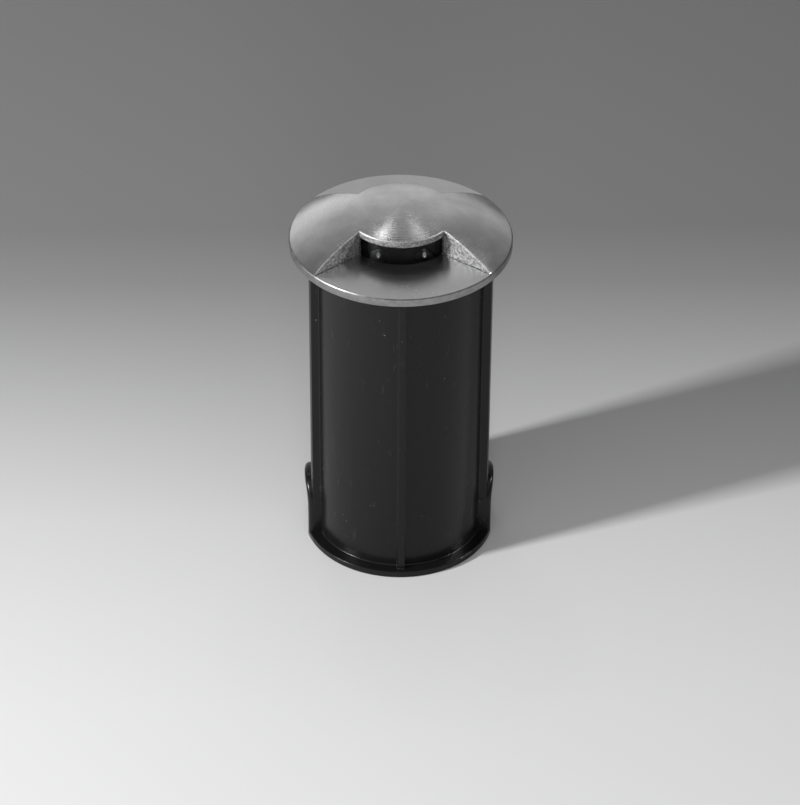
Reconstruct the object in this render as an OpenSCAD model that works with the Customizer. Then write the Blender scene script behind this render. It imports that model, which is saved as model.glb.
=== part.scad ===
// In-ground marker light: a round walk-over cover with two opposed light windows, a sealed lamp
// that hangs from the cover, and a ribbed sleeve that stays in the ground. Millimetres.
// The origin is the middle of the sleeve's foot, with +Z up. The windows face -Y and +Y and the
// cable entries face -X and +X.

/* [Cover] */
// Diameter of the walk-over cover
cover_d = 76; // [73:0.5:84]
// Height of the upright face round the cover's rim
rim_height = 3; // [2.6:0.1:4]
// Rise of the domed crown above the rim
crown_rise = 12.1; // [11.4:0.1:14]
// Bevel round the top edge of the rim
rim_bevel = 0.4; // [0.2:0.05:0.8]
// Half angle of each light recess, from the way it faces
recess_half_angle = 51; // [46:1:54]
// Diameter across the two brows above the windows
brow_d = 36.6; // [35.8:0.1:38]
// Metal left between the brow face and the cavity behind it
brow_wall = 0.7; // [0.5:0.05:1]
// Height of each window
window_height = 7.3; // [6:0.1:7.6]
// Room in the cover's cavity above the windows
cavity_headroom = 0.4; // [0.3:0.1:0.8]

/* [Ground sleeve] */
// Outer diameter of the sleeve's tube
sleeve_d = 59.2; // [58:0.2:64]
// Wall of the sleeve's tube
sleeve_wall = 2.4; // [2:0.1:2.8]
// Height of the sleeve from its foot to its mouth
sleeve_height = 118.4; // [112:0.2:150]
// Diameter of the flange round the foot
foot_flange_d = 67.4; // [66:0.2:72]
// Thickness of the flange round the foot
foot_flange_height = 2.4; // [2:0.1:4]
// Bevel where the tube meets the flange
foot_fillet = 1; // [0.5:0.1:1.5]
// Bevel inside the mouth, which leads the lamp in
mouth_bevel = 0.6; // [0.3:0.1:1]
// Thickness of every rib up the sleeve
rib_thickness = 2.6; // [2:0.1:3.2]
// How far the single front and rear ribs stand out
centre_rib_depth = 2.2; // [1.5:0.1:3]
// Distance over the outer faces of each pair of side ribs
side_rib_span = 19.2; // [16:0.2:20]
// Diameter over the outer edges of the side ribs
side_rib_d = 64.4; // [63:0.2:66]
// Width of the hood over each cable entry
hood_width = 20.9; // [20.2:0.1:24]
// Height of the hood over each cable entry
hood_height = 22.8; // [20:0.1:26]
// Corner radius of the hood
hood_corner_r = 9.6; // [5:0.1:10]
// Wall of the hood
hood_wall = 2.3; // [1.8:0.1:3]

/* [Lamp housing] */
// Outer diameter of the lamp housing
housing_d = 38; // [37.6:0.1:39]
// Wall of the lamp housing
housing_wall = 2.2; // [2:0.1:2.6]
// Length of the lamp housing under the cover
housing_length = 69.3; // [66:0.1:72]
// Thickness of the housing's top flange
top_flange_height = 5.5; // [5:0.1:7]
// Gap between the top flange and the sleeve's bore
lamp_gap = 0.6; // [0.4:0.05:0.8]
// Depth from the housing's mouth to the ledge that carries the lamp core
ledge_depth = 11.3; // [10.8:0.1:12]
// Width of that ledge
ledge_width = 2; // [1.6:0.1:2.2]
// Thickness of that ledge
ledge_height = 2; // [1.5:0.1:3]

/* [Lens cup and seals] */
// Wall of the clear lens cup
cup_wall = 1.4; // [1.2:0.05:1.6]
// Width of the lens cup's flange
cup_flange_width = 3; // [2.6:0.1:3.2]
// Thickness of the lens cup's flange
cup_flange_height = 2; // [1.6:0.1:2.4]
// Thickness of the gasket under the lens cup
cup_gasket_height = 1; // [0.8:0.1:1.4]
// Thickness of the gasket between the cover and the sleeve
seat_gasket_height = 0.9; // [0.6:0.1:1.5]

/* [Light sources] */
// Distance between the two light sources of a window
led_spacing = 15.4; // [14:0.1:15.8]
// Diameter of each clear dome lens
dome_d = 6.4; // [5.8:0.1:6.6]
// Height of the straight skirt under each dome
dome_skirt = 1.1; // [1:0.05:1.3]
// How far the sources sit below the recess floor
led_drop = 1.2; // [0.6:0.1:2]
// Width of each light source chip
led_width = 3.4; // [3:0.1:3.6]
// Height of each light source chip
led_height = 0.7; // [0.5:0.05:0.8]
// Thickness of the boards that carry the sources
led_board_thickness = 1; // [0.8:0.1:1.6]
// Width of the boards that carry the sources
led_board_width = 23.4; // [22.8:0.2:24]

/* [Driver] */
// Thickness of the driver board
driver_board_thickness = 1.6; // [1.2:0.1:2]
// Width of the driver board
driver_board_width = 29; // [28:0.1:29.2]

/* [End cap and cable gland] */
// Thickness of the end cap
cap_height = 3.5; // [3:0.1:5]
// Height of the end cap's spigot inside the housing
spigot_height = 5; // [4.4:0.1:6]
// Diameter of the cable that the gland seals on
cable_d = 7; // [6:0.1:8]
// Thread diameter of the cable gland
gland_thread_d = 16; // [15.4:0.1:16.4]
// Width across the flats of the gland's hexagons
gland_flats = 19; // [18.6:0.1:20]
// Height of the gland's fixed hexagon
gland_hex_height = 4; // [3:0.1:5]
// Length of the clamping nut
gland_nut_length = 10.5; // [9.5:0.1:12]

/* [Retaining clips] */
// Number of leaf springs round the lamp
clip_count = 3; // [2:1:4]
// Width of each leaf spring
clip_width = 8; // [6:0.5:9]
// Thickness of each leaf spring
clip_thickness = 0.5; // [0.4:0.05:0.7]
// Height of the bowed part of each leaf spring
clip_bow_height = 28; // [24:0.5:30]
// Height of the band that carries the springs
band_height = 6; // [5.4:0.1:7]
// Thickness of that band
band_thickness = 0.8; // [0.6:0.05:1]
// Depth of the band's top edge below the housing's mouth
band_depth = 21.3; // [20:0.1:23]

/* [Screws] */
// Diameter of the screws in the cover and the end cap
screw_d = 3; // [2.5:0.1:3.2]
// Diameter of the screws that hold the lamp core
core_screw_d = 2.5; // [2:0.1:2.6]
// Diameter of the screws that hold the boards
board_screw_d = 2; // [1.6:0.1:2.2]

/* [Hidden] */
$fn = 96;

// Clearances: threads and shafts, turning parts, parts that drop into place, and overrun of cuts
thread_gap = 0.05;
running_gap = 0.07;
drop_gap = 0.2;
free_gap = 0.3;
overrun = 1;

// Heights, worked upwards from the sleeve's mouth
rim_bottom_z = sleeve_height + seat_gasket_height;
floor_z = rim_bottom_z + rim_height;
window_top_z = floor_z + window_height;
cavity_top_z = window_top_z + cavity_headroom;
cup_top_z = cavity_top_z - drop_gap;
cup_ceiling_z = cup_top_z - cup_wall;
shroud_top_z = cup_ceiling_z - drop_gap;
ledge_z = rim_bottom_z - ledge_depth;
core_base_height = 3;
core_base_z = ledge_z + core_base_height;
led_z = floor_z - led_drop;
housing_bottom_z = rim_bottom_z - housing_length;
cap_bottom_z = housing_bottom_z - cap_height;

// Radii of the cover, the sleeve and the housing
cover_r = cover_d / 2;
crown_r = (cover_r * cover_r + crown_rise * crown_rise) / (2 * crown_rise);
crown_centre_z = floor_z + crown_rise - crown_r;
brow_r = brow_d / 2;
cavity_r = brow_r - brow_wall;
tube_r = sleeve_d / 2;
sleeve_bore_r = tube_r - sleeve_wall;
foot_flange_r = foot_flange_d / 2;
side_rib_r = side_rib_d / 2;
housing_r = housing_d / 2;
housing_bore_r = housing_r - housing_wall;
top_flange_r = sleeve_bore_r - lamp_gap;

// Lens cup, and the housing's head, which takes the cup above the ledge and the core on it
cup_r = cavity_r - drop_gap;
cup_inner_r = cup_r - cup_wall;
cup_flange_r = cup_r + cup_flange_width;
cup_seat_r = cup_flange_r + free_gap;
head_bore_inset = 0.6;
head_bore_r = cup_r - head_bore_inset;
head_r = head_bore_r + housing_wall;
ledge_r = min(housing_bore_r, head_bore_r) - ledge_width;
cup_flange_bottom_z = rim_bottom_z - cup_flange_height;
cup_seat_z = cup_flange_bottom_z - cup_gasket_height;

// Cover screws, in the two thick wings between the recesses
cover_screw_circle_r = (cup_seat_r + top_flange_r) / 2;
cover_screw_angle_share = 9 / 13;
cover_screw_angle = cover_screw_angle_share * (90 - recess_half_angle);
cover_screw_reach = 5.5;
cover_hole_extra = 0.8;

// Screw heads, as shares of the screw's diameter
head_r_share = 0.9;
head_height_share = 0.65;
socket_r_share = 0.48;
socket_depth_share = 0.4;
clearance_hole_share = 0.57;

// Light sources: the domes clear the lens cup, and the boards stand behind them
dome_r = dome_d / 2;
led_x = led_spacing / 2;
dome_centre_r = cup_inner_r - free_gap - dome_r;
dome_y = sqrt(dome_centre_r * dome_centre_r - led_x * led_x);
led_board_face_y = dome_y - dome_skirt;
core_half_depth = led_board_face_y - led_board_thickness;
led_board_rise = 1.5;
shroud_wall = 1;
shroud_stand_off = head_height_share * board_screw_d + drop_gap;
shroud_face_y = led_board_face_y + shroud_stand_off + shroud_wall;
shroud_r = cup_inner_r - free_gap;
core_half_width = led_board_width / 2 + drop_gap;
core_top_z = shroud_top_z - shroud_wall - drop_gap;
dome_pocket_gap = 0.15;

// Screws of the boards, above and below the line of the sources
board_screw_offset = 4.2;
board_screw_depth = 5;
core_screw_inset = 2.8;
core_screw_y = head_bore_r - core_screw_inset;
core_screw_depth = 7;
core_boss_wall = 1.4;
core_boss_height = 8;

// Driver board and the guides that hold its edges
guide_floor = 2;
guide_width = 4.8;
guide_hold = 1.6;
guide_inner_x = driver_board_width / 2 - guide_hold;
guide_floor_height = 12;
driver_bottom_z = housing_bottom_z + guide_floor_height + guide_floor;
driver_top_z = ledge_z - ledge_height - core_base_height;
driver_length = driver_top_z - driver_bottom_z;
driver_face_y = driver_board_thickness / 2;

// Parts on the driver board, with their heights as shares of its length
terminal_size = [10.4, 8, 9];
terminal_hole_r = 1.3;
terminal_hole_depth = 5;
terminal_lift_share = 0.06;
coil_r = 5.2;
coil_height = 6.5;
coil_lip = 1;
coil_lip_depth = 0.8;
coil_lift_share = 0.36;
capacitor_r = 3.3;
capacitor_height = 8.5;
capacitor_spacing = 9;
capacitor_lift_share = 0.72;
chip_size = [5, 1.6, 6.2];
chip_spacing = 8.4;
chip_lift_share = 0.62;

// Leads from the driver board to the boards of the light sources
wire_r = 0.6;
wire_x = 2.6;
wire_y = led_board_face_y + wire_r + thread_gap;
wire_hole_r = wire_r + free_gap;
wire_bottom_z = driver_top_z - 2 * wire_r;
wire_overlap = 2;

// End cap, its seal and its three screw ears
spigot_r = housing_bore_r - drop_gap;
seal_r = 0.8;
seal_squeeze_gap = 0.05;
seal_ring_r = housing_bore_r - seal_r - seal_squeeze_gap;
seal_groove_r = seal_ring_r - seal_r - seal_squeeze_gap;
seal_groove_height = 2 * seal_r + free_gap;
seal_z = housing_bottom_z + spigot_height / 2;
ear_count = 3;
ear_r = screw_d + drop_gap;
ear_circle_r = housing_r + screw_d / 2 + free_gap;
ear_height = 8;
ear_screw_reach = 6.5;
ear_first_angle = 90;

// Cable gland
gland_thread_r = gland_thread_d / 2;
gland_gasket_height = 1.5;
gland_hex_r = gland_flats / 2 / cos(30);
gland_gasket_r = gland_flats / 2;
gland_hex_top_z = cap_bottom_z - gland_gasket_height;
gland_hex_bottom_z = gland_hex_top_z - gland_hex_height;
gland_nut_gap = 0.5;
gland_nut_top_z = gland_hex_bottom_z - gland_nut_gap;
gland_nut_bottom_z = gland_nut_top_z - gland_nut_length;
gland_nut_end = 2.5;
gland_nut_wall = 1.9;
gland_collar_r = gland_flats / 2 - gland_nut_wall - thread_gap;
gland_seal_wall = 2.6;
gland_seal_r = cable_d / 2 + gland_seal_wall;
gland_seal_length = 7;
gland_seal_bottom_z = gland_nut_bottom_z + gland_nut_end;
gland_collar_lift = 1;
gland_collar_bottom_z = gland_seal_bottom_z + gland_collar_lift;
gland_bore_r = gland_seal_r - 2 * free_gap;
gland_mouth_r = cable_d / 2 + 2 * thread_gap + overrun;
gland_thread_length = cap_height + spigot_height;
gland_nut_taper = 2.2;

// Band and leaf springs, which stay still while the housing turns inside them
band_r = housing_r + running_gap;
band_outer_r = band_r + band_thickness;
band_top_z = rim_bottom_z - band_depth;
band_bottom_z = band_top_z - band_height;
band_split = 5;
band_split_angle = 30;
bead_height = 1.2;
clip_first_angle = 90;
clip_face_r = band_outer_r + thread_gap;
clip_back_r = clip_face_r + clip_thickness;
clip_reach_r = sqrt(pow(sleeve_bore_r - free_gap, 2) - pow(clip_width / 2, 2));
clip_bow = clip_reach_r - clip_back_r;
clip_half = clip_bow_height / 2;
clip_arc_r = (clip_half * clip_half + clip_bow * clip_bow) / (2 * clip_bow);
clip_arc_x = clip_reach_r - clip_arc_r;
rivet_r = 1;
rivet_head_r = 1.8;
rivet_head_height = 0.8;

// Colours
steel_colour = [0.66, 0.66, 0.65];
black_plastic_colour = [0.13, 0.13, 0.135];
black_metal_colour = [0.16, 0.16, 0.17];
clear_colour = [0.85, 0.9, 0.92, 0.35];
rubber_colour = [0.08, 0.08, 0.08];
screw_colour = [0.72, 0.72, 0.74];

// A wedge centred on -Y, out past the cover's rim
module recess_plan() {
    reach = cover_r + overrun;
    polygon([[0, 0], [-reach * tan(recess_half_angle), -reach], [reach * tan(recess_half_angle), -reach]]);
}

// Repeats its children to face -Y and +Y
module front_and_rear() {
    for (turn = [0, 180]) rotate([0, 0, turn]) children();
}

// Repeats its children at the four cover screws
module at_cover_screws() {
    for (turn = [-cover_screw_angle, cover_screw_angle, 180 - cover_screw_angle, 180 + cover_screw_angle])
        rotate([0, 0, turn]) translate([cover_screw_circle_r, 0, 0]) children();
}

// Repeats its children round the ears of the end cap
module at_ears() {
    for (i = [0 : ear_count - 1])
        rotate([0, 0, ear_first_angle + i * 360 / ear_count]) children();
}

// Repeats its children round the leaf springs
module at_clips() {
    for (i = [0 : clip_count - 1])
        rotate([0, 0, clip_first_angle + i * 360 / clip_count]) children();
}

// A socket-head screw: its shank rises from the origin and its head hangs below it
module socket_screw(diameter, length) {
    head_height = head_height_share * diameter;
    socket_depth = socket_depth_share * diameter;
    difference() {
        union() {
            cylinder(d = diameter, h = length);
            translate([0, 0, -head_height]) cylinder(r = head_r_share * diameter, h = head_height);
        }
        translate([0, 0, -head_height - overrun])
            cylinder(r = socket_r_share * diameter, h = socket_depth + overrun, $fn = 6);
    }
}

// A flat ring between two radii
module ring(inner_r, outer_r, height) {
    difference() {
        cylinder(r = outer_r, h = height);
        translate([0, 0, -overrun]) cylinder(r = inner_r, h = height + 2 * overrun);
    }
}

// Outline of a cable hood: upright sides and two rounded top corners
module hood_plan(width, height, corner_r) {
    translate([-width / 2, 0]) square([width, height - corner_r]);
    translate([corner_r - width / 2, 0]) square([width - 2 * corner_r, height]);
    for (side = [-1, 1]) translate([side * (width / 2 - corner_r), height - corner_r]) circle(corner_r);
}

// The hood outline drawn along X through both sides of the sleeve
module hood_tunnel(width, height, corner_r) {
    reach = foot_flange_r + overrun;
    rotate([90, 0, 90]) translate([0, 0, -reach]) linear_extrude(2 * reach) hood_plan(width, height, corner_r);
}

module sleeve_tube() {
    rotate_extrude() polygon([
        [0, 0], [foot_flange_r, 0], [foot_flange_r, foot_flange_height],
        [tube_r + foot_fillet, foot_flange_height], [tube_r, foot_flange_height + foot_fillet],
        [tube_r, sleeve_height], [0, sleeve_height]
    ]);
}

module sleeve_ribs() {
    front_and_rear()
        translate([-rib_thickness / 2, -tube_r - centre_rib_depth, 0])
            cube([rib_thickness, sleeve_wall + centre_rib_depth, sleeve_height]);
    intersection() {
        for (side = [-1, 1])
            translate([-side_rib_r, side * (side_rib_span - rib_thickness) / 2 - rib_thickness / 2, 0])
                cube([2 * side_rib_r, rib_thickness, sleeve_height]);
        cylinder(r = side_rib_r, h = sleeve_height);
    }
}

module sleeve_hoods() {
    intersection() {
        hood_tunnel(hood_width, hood_height, hood_corner_r);
        cylinder(r = foot_flange_r, h = hood_height + overrun);
    }
}

module ground_sleeve() {
    color(black_plastic_colour) difference() {
        union() {
            sleeve_tube();
            sleeve_ribs();
            sleeve_hoods();
        }
        translate([0, 0, -overrun]) cylinder(r = sleeve_bore_r, h = sleeve_height + 2 * overrun);
        translate([0, 0, sleeve_height - mouth_bevel])
            cylinder(r1 = sleeve_bore_r, r2 = sleeve_bore_r + mouth_bevel, h = mouth_bevel);
        translate([0, 0, -overrun])
            hood_tunnel(hood_width - 2 * hood_wall, hood_height - hood_wall + overrun,
                hood_corner_r - hood_wall);
    }
}

module seat_gasket() {
    color(rubber_colour) translate([0, 0, sleeve_height])
        ring(top_flange_r + drop_gap, tube_r, seat_gasket_height);
}

// The cover's outline up to its bevelled rim; the crown's sphere trims its top
module cover_blank() {
    bevel_top_r = cover_r - rim_bevel;
    bevel_top_z = crown_centre_z + sqrt(crown_r * crown_r - bevel_top_r * bevel_top_r);
    intersection() {
        rotate_extrude() polygon([
            [0, rim_bottom_z], [cover_r, rim_bottom_z], [cover_r, floor_z - rim_bevel],
            [bevel_top_r, bevel_top_z], [bevel_top_r, floor_z + crown_rise + overrun],
            [0, floor_z + crown_rise + overrun]
        ]);
        translate([0, 0, crown_centre_z]) sphere(r = crown_r);
    }
}

module top_cover() {
    color(steel_colour) difference() {
        cover_blank();
        front_and_rear() difference() {
            translate([0, 0, floor_z]) linear_extrude(crown_rise + overrun) recess_plan();
            translate([0, 0, floor_z - overrun]) cylinder(r = brow_r, h = crown_rise + 3 * overrun);
        }
        front_and_rear() intersection() {
            translate([0, 0, floor_z]) linear_extrude(window_height) recess_plan();
            translate([0, 0, floor_z - overrun])
                cylinder(r = brow_r + overrun, h = window_height + 2 * overrun);
        }
        translate([0, 0, rim_bottom_z - overrun])
            cylinder(r = cavity_r, h = cavity_top_z - rim_bottom_z + overrun);
        at_cover_screws() translate([0, 0, rim_bottom_z - overrun])
            cylinder(d = screw_d + 2 * thread_gap, h = cover_screw_reach + cover_hole_extra + overrun);
    }
}

module cover_screws() {
    color(screw_colour) at_cover_screws() translate([0, 0, rim_bottom_z - top_flange_height])
        socket_screw(screw_d, top_flange_height + cover_screw_reach);
}

module lens_cup() {
    color(clear_colour) difference() {
        union() {
            translate([0, 0, cup_flange_bottom_z]) cylinder(r = cup_r, h = cup_top_z - cup_flange_bottom_z);
            translate([0, 0, cup_flange_bottom_z]) cylinder(r = cup_flange_r, h = cup_flange_height);
        }
        translate([0, 0, cup_flange_bottom_z - overrun])
            cylinder(r = cup_inner_r, h = cup_ceiling_z - cup_flange_bottom_z + overrun);
    }
}

module lens_gasket() {
    color(rubber_colour) translate([0, 0, cup_seat_z])
        ring(head_bore_r + drop_gap, cup_flange_r, cup_gasket_height);
}

// The housing's shell: tube, head, top flange, and the two beads that keep the clip band in place
module housing_shell() {
    translate([0, 0, housing_bottom_z]) cylinder(r = housing_r, h = ledge_z - housing_bottom_z);
    translate([0, 0, ledge_z - ledge_height]) cylinder(r = head_r, h = ledge_height + ledge_depth);
    translate([0, 0, rim_bottom_z - top_flange_height]) cylinder(r = top_flange_r, h = top_flange_height);
    for (z = [band_top_z + free_gap, band_bottom_z - free_gap - bead_height])
        translate([0, 0, z]) cylinder(r = band_outer_r, h = bead_height);
    at_ears() ear(housing_bottom_z, ear_height);
}

// One screw ear at the foot of the housing or on the end cap
module ear(bottom_z, height) {
    translate([0, 0, bottom_z]) {
        translate([ear_circle_r, 0, 0]) cylinder(r = ear_r, h = height);
        translate([housing_bore_r + housing_wall / 2, -ear_r, 0])
            cube([ear_circle_r - housing_bore_r - housing_wall / 2, 2 * ear_r, height]);
    }
}

// The ledge that carries the lamp core, with two screw bosses under it
module housing_ledge() {
    outer_r = max(housing_r, head_r) - housing_wall / 2;
    translate([0, 0, ledge_z - ledge_height]) ring(ledge_r, outer_r, ledge_height);
    intersection() {
        front_and_rear() translate([0, -core_screw_y, ledge_z - core_boss_height])
            cylinder(r = core_screw_d / 2 + core_boss_wall, h = core_boss_height);
        cylinder(r = outer_r, h = ledge_z);
    }
}

// The two guides that hold the edges of the driver board
module housing_guides() {
    guide_bottom_z = driver_bottom_z - guide_floor;
    intersection() {
        for (turn = [0, 180]) rotate([0, 0, turn]) difference() {
            translate([guide_inner_x, -guide_width / 2, guide_bottom_z])
                cube([housing_r - guide_inner_x, guide_width, driver_top_z - guide_bottom_z]);
            translate([0, -driver_face_y - drop_gap / 2, driver_bottom_z])
                cube([driver_board_width / 2 + drop_gap, driver_board_thickness + drop_gap,
                    driver_length + overrun]);
        }
        cylinder(r = housing_r - housing_wall / 2, h = rim_bottom_z);
    }
}

module lamp_housing() {
    color(black_metal_colour) difference() {
        union() {
            difference() {
                housing_shell();
                translate([0, 0, housing_bottom_z - overrun])
                    cylinder(r = housing_bore_r, h = ledge_z - ledge_height - housing_bottom_z + overrun);
                translate([0, 0, ledge_z - ledge_height])
                    cylinder(r = head_bore_r, h = ledge_height + ledge_depth + overrun);
                translate([0, 0, cup_seat_z]) cylinder(r = cup_seat_r, h = rim_bottom_z - cup_seat_z + overrun);
            }
            housing_ledge();
            housing_guides();
        }
        at_cover_screws() translate([0, 0, rim_bottom_z - top_flange_height - overrun])
            cylinder(r = clearance_hole_share * screw_d, h = top_flange_height + 2 * overrun);
        front_and_rear() translate([0, -core_screw_y, ledge_z - core_screw_depth])
            cylinder(d = core_screw_d + 2 * thread_gap, h = core_screw_depth + overrun);
        at_ears() translate([ear_circle_r, 0, housing_bottom_z - overrun])
            cylinder(d = screw_d + 2 * thread_gap, h = ear_screw_reach + cover_hole_extra + overrun);
    }
}

module led_carrier() {
    color([0.75, 0.76, 0.78]) difference() {
        union() {
            translate([0, 0, ledge_z]) cylinder(r = head_bore_r - drop_gap, h = core_base_height);
            translate([-core_half_width, -core_half_depth, ledge_z])
                cube([2 * core_half_width, 2 * core_half_depth, core_top_z - ledge_z]);
        }
        front_and_rear() {
            translate([0, -core_screw_y, ledge_z - overrun])
                cylinder(r = clearance_hole_share * core_screw_d, h = core_base_height + 2 * overrun);
            for (side = [-1, 1]) translate([side * wire_x, -wire_y, ledge_z - overrun])
                cylinder(r = wire_hole_r, h = core_base_height + 2 * overrun);
            at_board_screws() translate([0, 0, led_board_thickness])
                cylinder(d = board_screw_d + 2 * thread_gap, h = board_screw_depth);
        }
    }
}

module carrier_screws() {
    color(screw_colour) front_and_rear() translate([0, -core_screw_y, core_base_z])
        rotate([180, 0, 0]) socket_screw(core_screw_d, core_base_height + core_screw_depth - cover_hole_extra);
}

// Puts its children at the front board's screws, with +Z pointing into the lamp core
module at_board_screws() {
    for (offset = [-board_screw_offset, board_screw_offset])
        translate([0, -led_board_face_y, led_z + offset]) rotate([-90, 0, 0]) children();
}

// The front board; the rear one is the same piece turned round
module led_board() {
    bottom_z = core_base_z + led_board_rise;
    difference() {
        translate([-led_board_width / 2, -led_board_face_y, bottom_z])
            cube([led_board_width, led_board_thickness, core_top_z - bottom_z]);
        at_board_screws() translate([0, 0, -overrun])
            cylinder(d = board_screw_d + 2 * thread_gap, h = led_board_thickness + 2 * overrun);
    }
}

module front_led_board() {
    color([0.9, 0.9, 0.88]) led_board();
}

module rear_led_board() {
    color([0.9, 0.9, 0.88]) rotate([0, 0, 180]) led_board();
}

// The two chips of the front window
module led_pair() {
    for (side = [-1, 1])
        translate([side * led_x - led_width / 2, -led_board_face_y - led_height, led_z - led_width / 2])
            cube([led_width, led_height, led_width]);
}

module front_leds() {
    color([0.95, 0.8, 0.25]) led_pair();
}

module rear_leds() {
    color([0.95, 0.8, 0.25]) rotate([0, 0, 180]) led_pair();
}

// The two clear domes of the front window, each over its chip
module dome_pair() {
    pocket_width = led_width + 2 * dome_pocket_gap;
    pocket_height = led_height + dome_pocket_gap;
    for (side = [-1, 1]) translate([side * led_x, -led_board_face_y, led_z]) rotate([90, 0, 0]) difference() {
        union() {
            cylinder(r = dome_r, h = dome_skirt);
            translate([0, 0, dome_skirt]) intersection() {
                sphere(r = dome_r);
                cylinder(r = dome_r + overrun, h = dome_r + overrun);
            }
        }
        translate([-pocket_width / 2, -pocket_width / 2, -overrun])
            cube([pocket_width, pocket_width, pocket_height + overrun]);
    }
}

module front_dome_lenses() {
    color(clear_colour) dome_pair();
}

module rear_dome_lenses() {
    color(clear_colour) rotate([0, 0, 180]) dome_pair();
}

module board_screws() {
    color(screw_colour) front_and_rear() at_board_screws()
        socket_screw(board_screw_d, led_board_thickness + board_screw_depth - cover_hole_extra);
}

// The glossy black hood over the lamp core, with a round opening for each dome
module led_shroud() {
    color([0.05, 0.05, 0.055]) difference() {
        intersection() {
            translate([0, 0, core_base_z]) cylinder(r = shroud_r, h = shroud_top_z - core_base_z);
            translate([-shroud_r, -shroud_face_y, core_base_z])
                cube([2 * shroud_r, 2 * shroud_face_y, shroud_top_z - core_base_z]);
        }
        intersection() {
            translate([0, 0, core_base_z - overrun])
                cylinder(r = shroud_r - shroud_wall, h = shroud_top_z - shroud_wall - core_base_z + overrun);
            translate([-shroud_r, shroud_wall - shroud_face_y, core_base_z - overrun])
                cube([2 * shroud_r, 2 * (shroud_face_y - shroud_wall),
                    shroud_top_z - shroud_wall - core_base_z + overrun]);
        }
        front_and_rear() for (side = [-1, 1])
            translate([side * led_x, -led_board_face_y - overrun, led_z]) rotate([90, 0, 0])
                cylinder(r = dome_r + drop_gap, h = shroud_stand_off + shroud_wall + overrun);
    }
}

// One lead: out from the driver board, round an elbow and up past the foot of a board
module lead(side) {
    x = side * wire_x;
    top_z = core_base_z + led_board_rise + wire_overlap;
    translate([x, -driver_face_y, wire_bottom_z]) rotate([90, 0, 0])
        cylinder(r = wire_r, h = wire_y - driver_face_y);
    translate([x, -wire_y, wire_bottom_z]) {
        sphere(r = wire_r);
        cylinder(r = wire_r, h = top_z - wire_bottom_z);
    }
}

module lead_wires() {
    color([0.7, 0.12, 0.1]) front_and_rear() for (side = [-1, 1]) lead(side);
}

module driver_board() {
    color([0.1, 0.4, 0.22]) translate([-driver_board_width / 2, -driver_face_y, driver_bottom_z])
        cube([driver_board_width, driver_board_thickness, driver_length]);
}

module driver_coil() {
    color([0.25, 0.2, 0.18])
        translate([0, -driver_face_y, driver_bottom_z + coil_lift_share * driver_length]) rotate([90, 0, 0]) {
            cylinder(r = coil_r - coil_lip_depth, h = coil_height);
            for (z = [0, coil_height - coil_lip]) translate([0, 0, z]) cylinder(r = coil_r, h = coil_lip);
        }
}

module driver_capacitors() {
    color([0.12, 0.16, 0.32]) for (side = [-1, 1])
        translate([side * capacitor_spacing / 2, -driver_face_y,
                driver_bottom_z + capacitor_lift_share * driver_length])
            rotate([90, 0, 0]) cylinder(r = capacitor_r, h = capacitor_height);
}

module driver_chips() {
    color([0.08, 0.08, 0.09]) for (side = [-1, 1])
        translate([side * chip_spacing / 2 - chip_size[0] / 2, driver_face_y,
                driver_bottom_z + chip_lift_share * driver_length])
            cube(chip_size);
}

module terminal_block() {
    bottom_z = driver_bottom_z + terminal_lift_share * driver_length;
    color([0.2, 0.45, 0.6]) difference() {
        translate([-terminal_size[0] / 2, driver_face_y, bottom_z]) cube(terminal_size);
        for (side = [-1, 1]) translate([side * terminal_size[0] / 4, driver_face_y + terminal_size[1] / 2, 0]) {
            translate([0, 0, bottom_z - overrun])
                cylinder(r = terminal_hole_r, h = terminal_hole_depth + overrun);
            translate([0, terminal_size[1] / 2 + overrun, bottom_z + 3 * terminal_size[2] / 4])
                rotate([90, 0, 0]) cylinder(r = terminal_hole_r, h = 2 * overrun);
        }
    }
}

module end_cap() {
    color(black_metal_colour) difference() {
        union() {
            translate([0, 0, cap_bottom_z]) cylinder(r = housing_r, h = cap_height);
            translate([0, 0, housing_bottom_z]) cylinder(r = spigot_r, h = spigot_height);
            at_ears() ear(cap_bottom_z, cap_height);
        }
        translate([0, 0, seal_z - seal_groove_height / 2])
            ring(seal_groove_r, spigot_r + overrun, seal_groove_height);
        translate([0, 0, cap_bottom_z - overrun])
            cylinder(r = gland_thread_r + thread_gap, h = cap_height + spigot_height + 2 * overrun);
        at_ears() translate([ear_circle_r, 0, cap_bottom_z - overrun])
            cylinder(r = clearance_hole_share * screw_d, h = cap_height + 2 * overrun);
    }
}

module end_cap_seal() {
    color(rubber_colour) translate([0, 0, seal_z]) rotate_extrude() translate([seal_ring_r, 0]) circle(seal_r);
}

module end_cap_screws() {
    color(screw_colour) at_ears() translate([ear_circle_r, 0, cap_bottom_z])
        socket_screw(screw_d, cap_height + ear_screw_reach);
}

module gland_body() {
    color([0.14, 0.14, 0.15]) difference() {
        union() {
            translate([0, 0, gland_hex_bottom_z])
                cylinder(r = gland_thread_r, h = gland_hex_height + gland_gasket_height + gland_thread_length);
            translate([0, 0, gland_hex_bottom_z]) cylinder(r = gland_hex_r, h = gland_hex_height, $fn = 6);
            translate([0, 0, gland_collar_bottom_z])
                cylinder(r = gland_collar_r, h = gland_hex_top_z - gland_collar_bottom_z);
        }
        translate([0, 0, gland_collar_bottom_z - overrun])
            cylinder(r = gland_bore_r,
                h = housing_bottom_z + spigot_height - gland_collar_bottom_z + 2 * overrun);
        translate([0, 0, gland_collar_bottom_z - overrun])
            cylinder(r = gland_seal_r + thread_gap, h = gland_seal_length - gland_collar_lift + overrun);
    }
}

module gland_gasket() {
    color(rubber_colour) translate([0, 0, gland_hex_top_z])
        ring(gland_thread_r + thread_gap, gland_gasket_r, gland_gasket_height);
}

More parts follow.
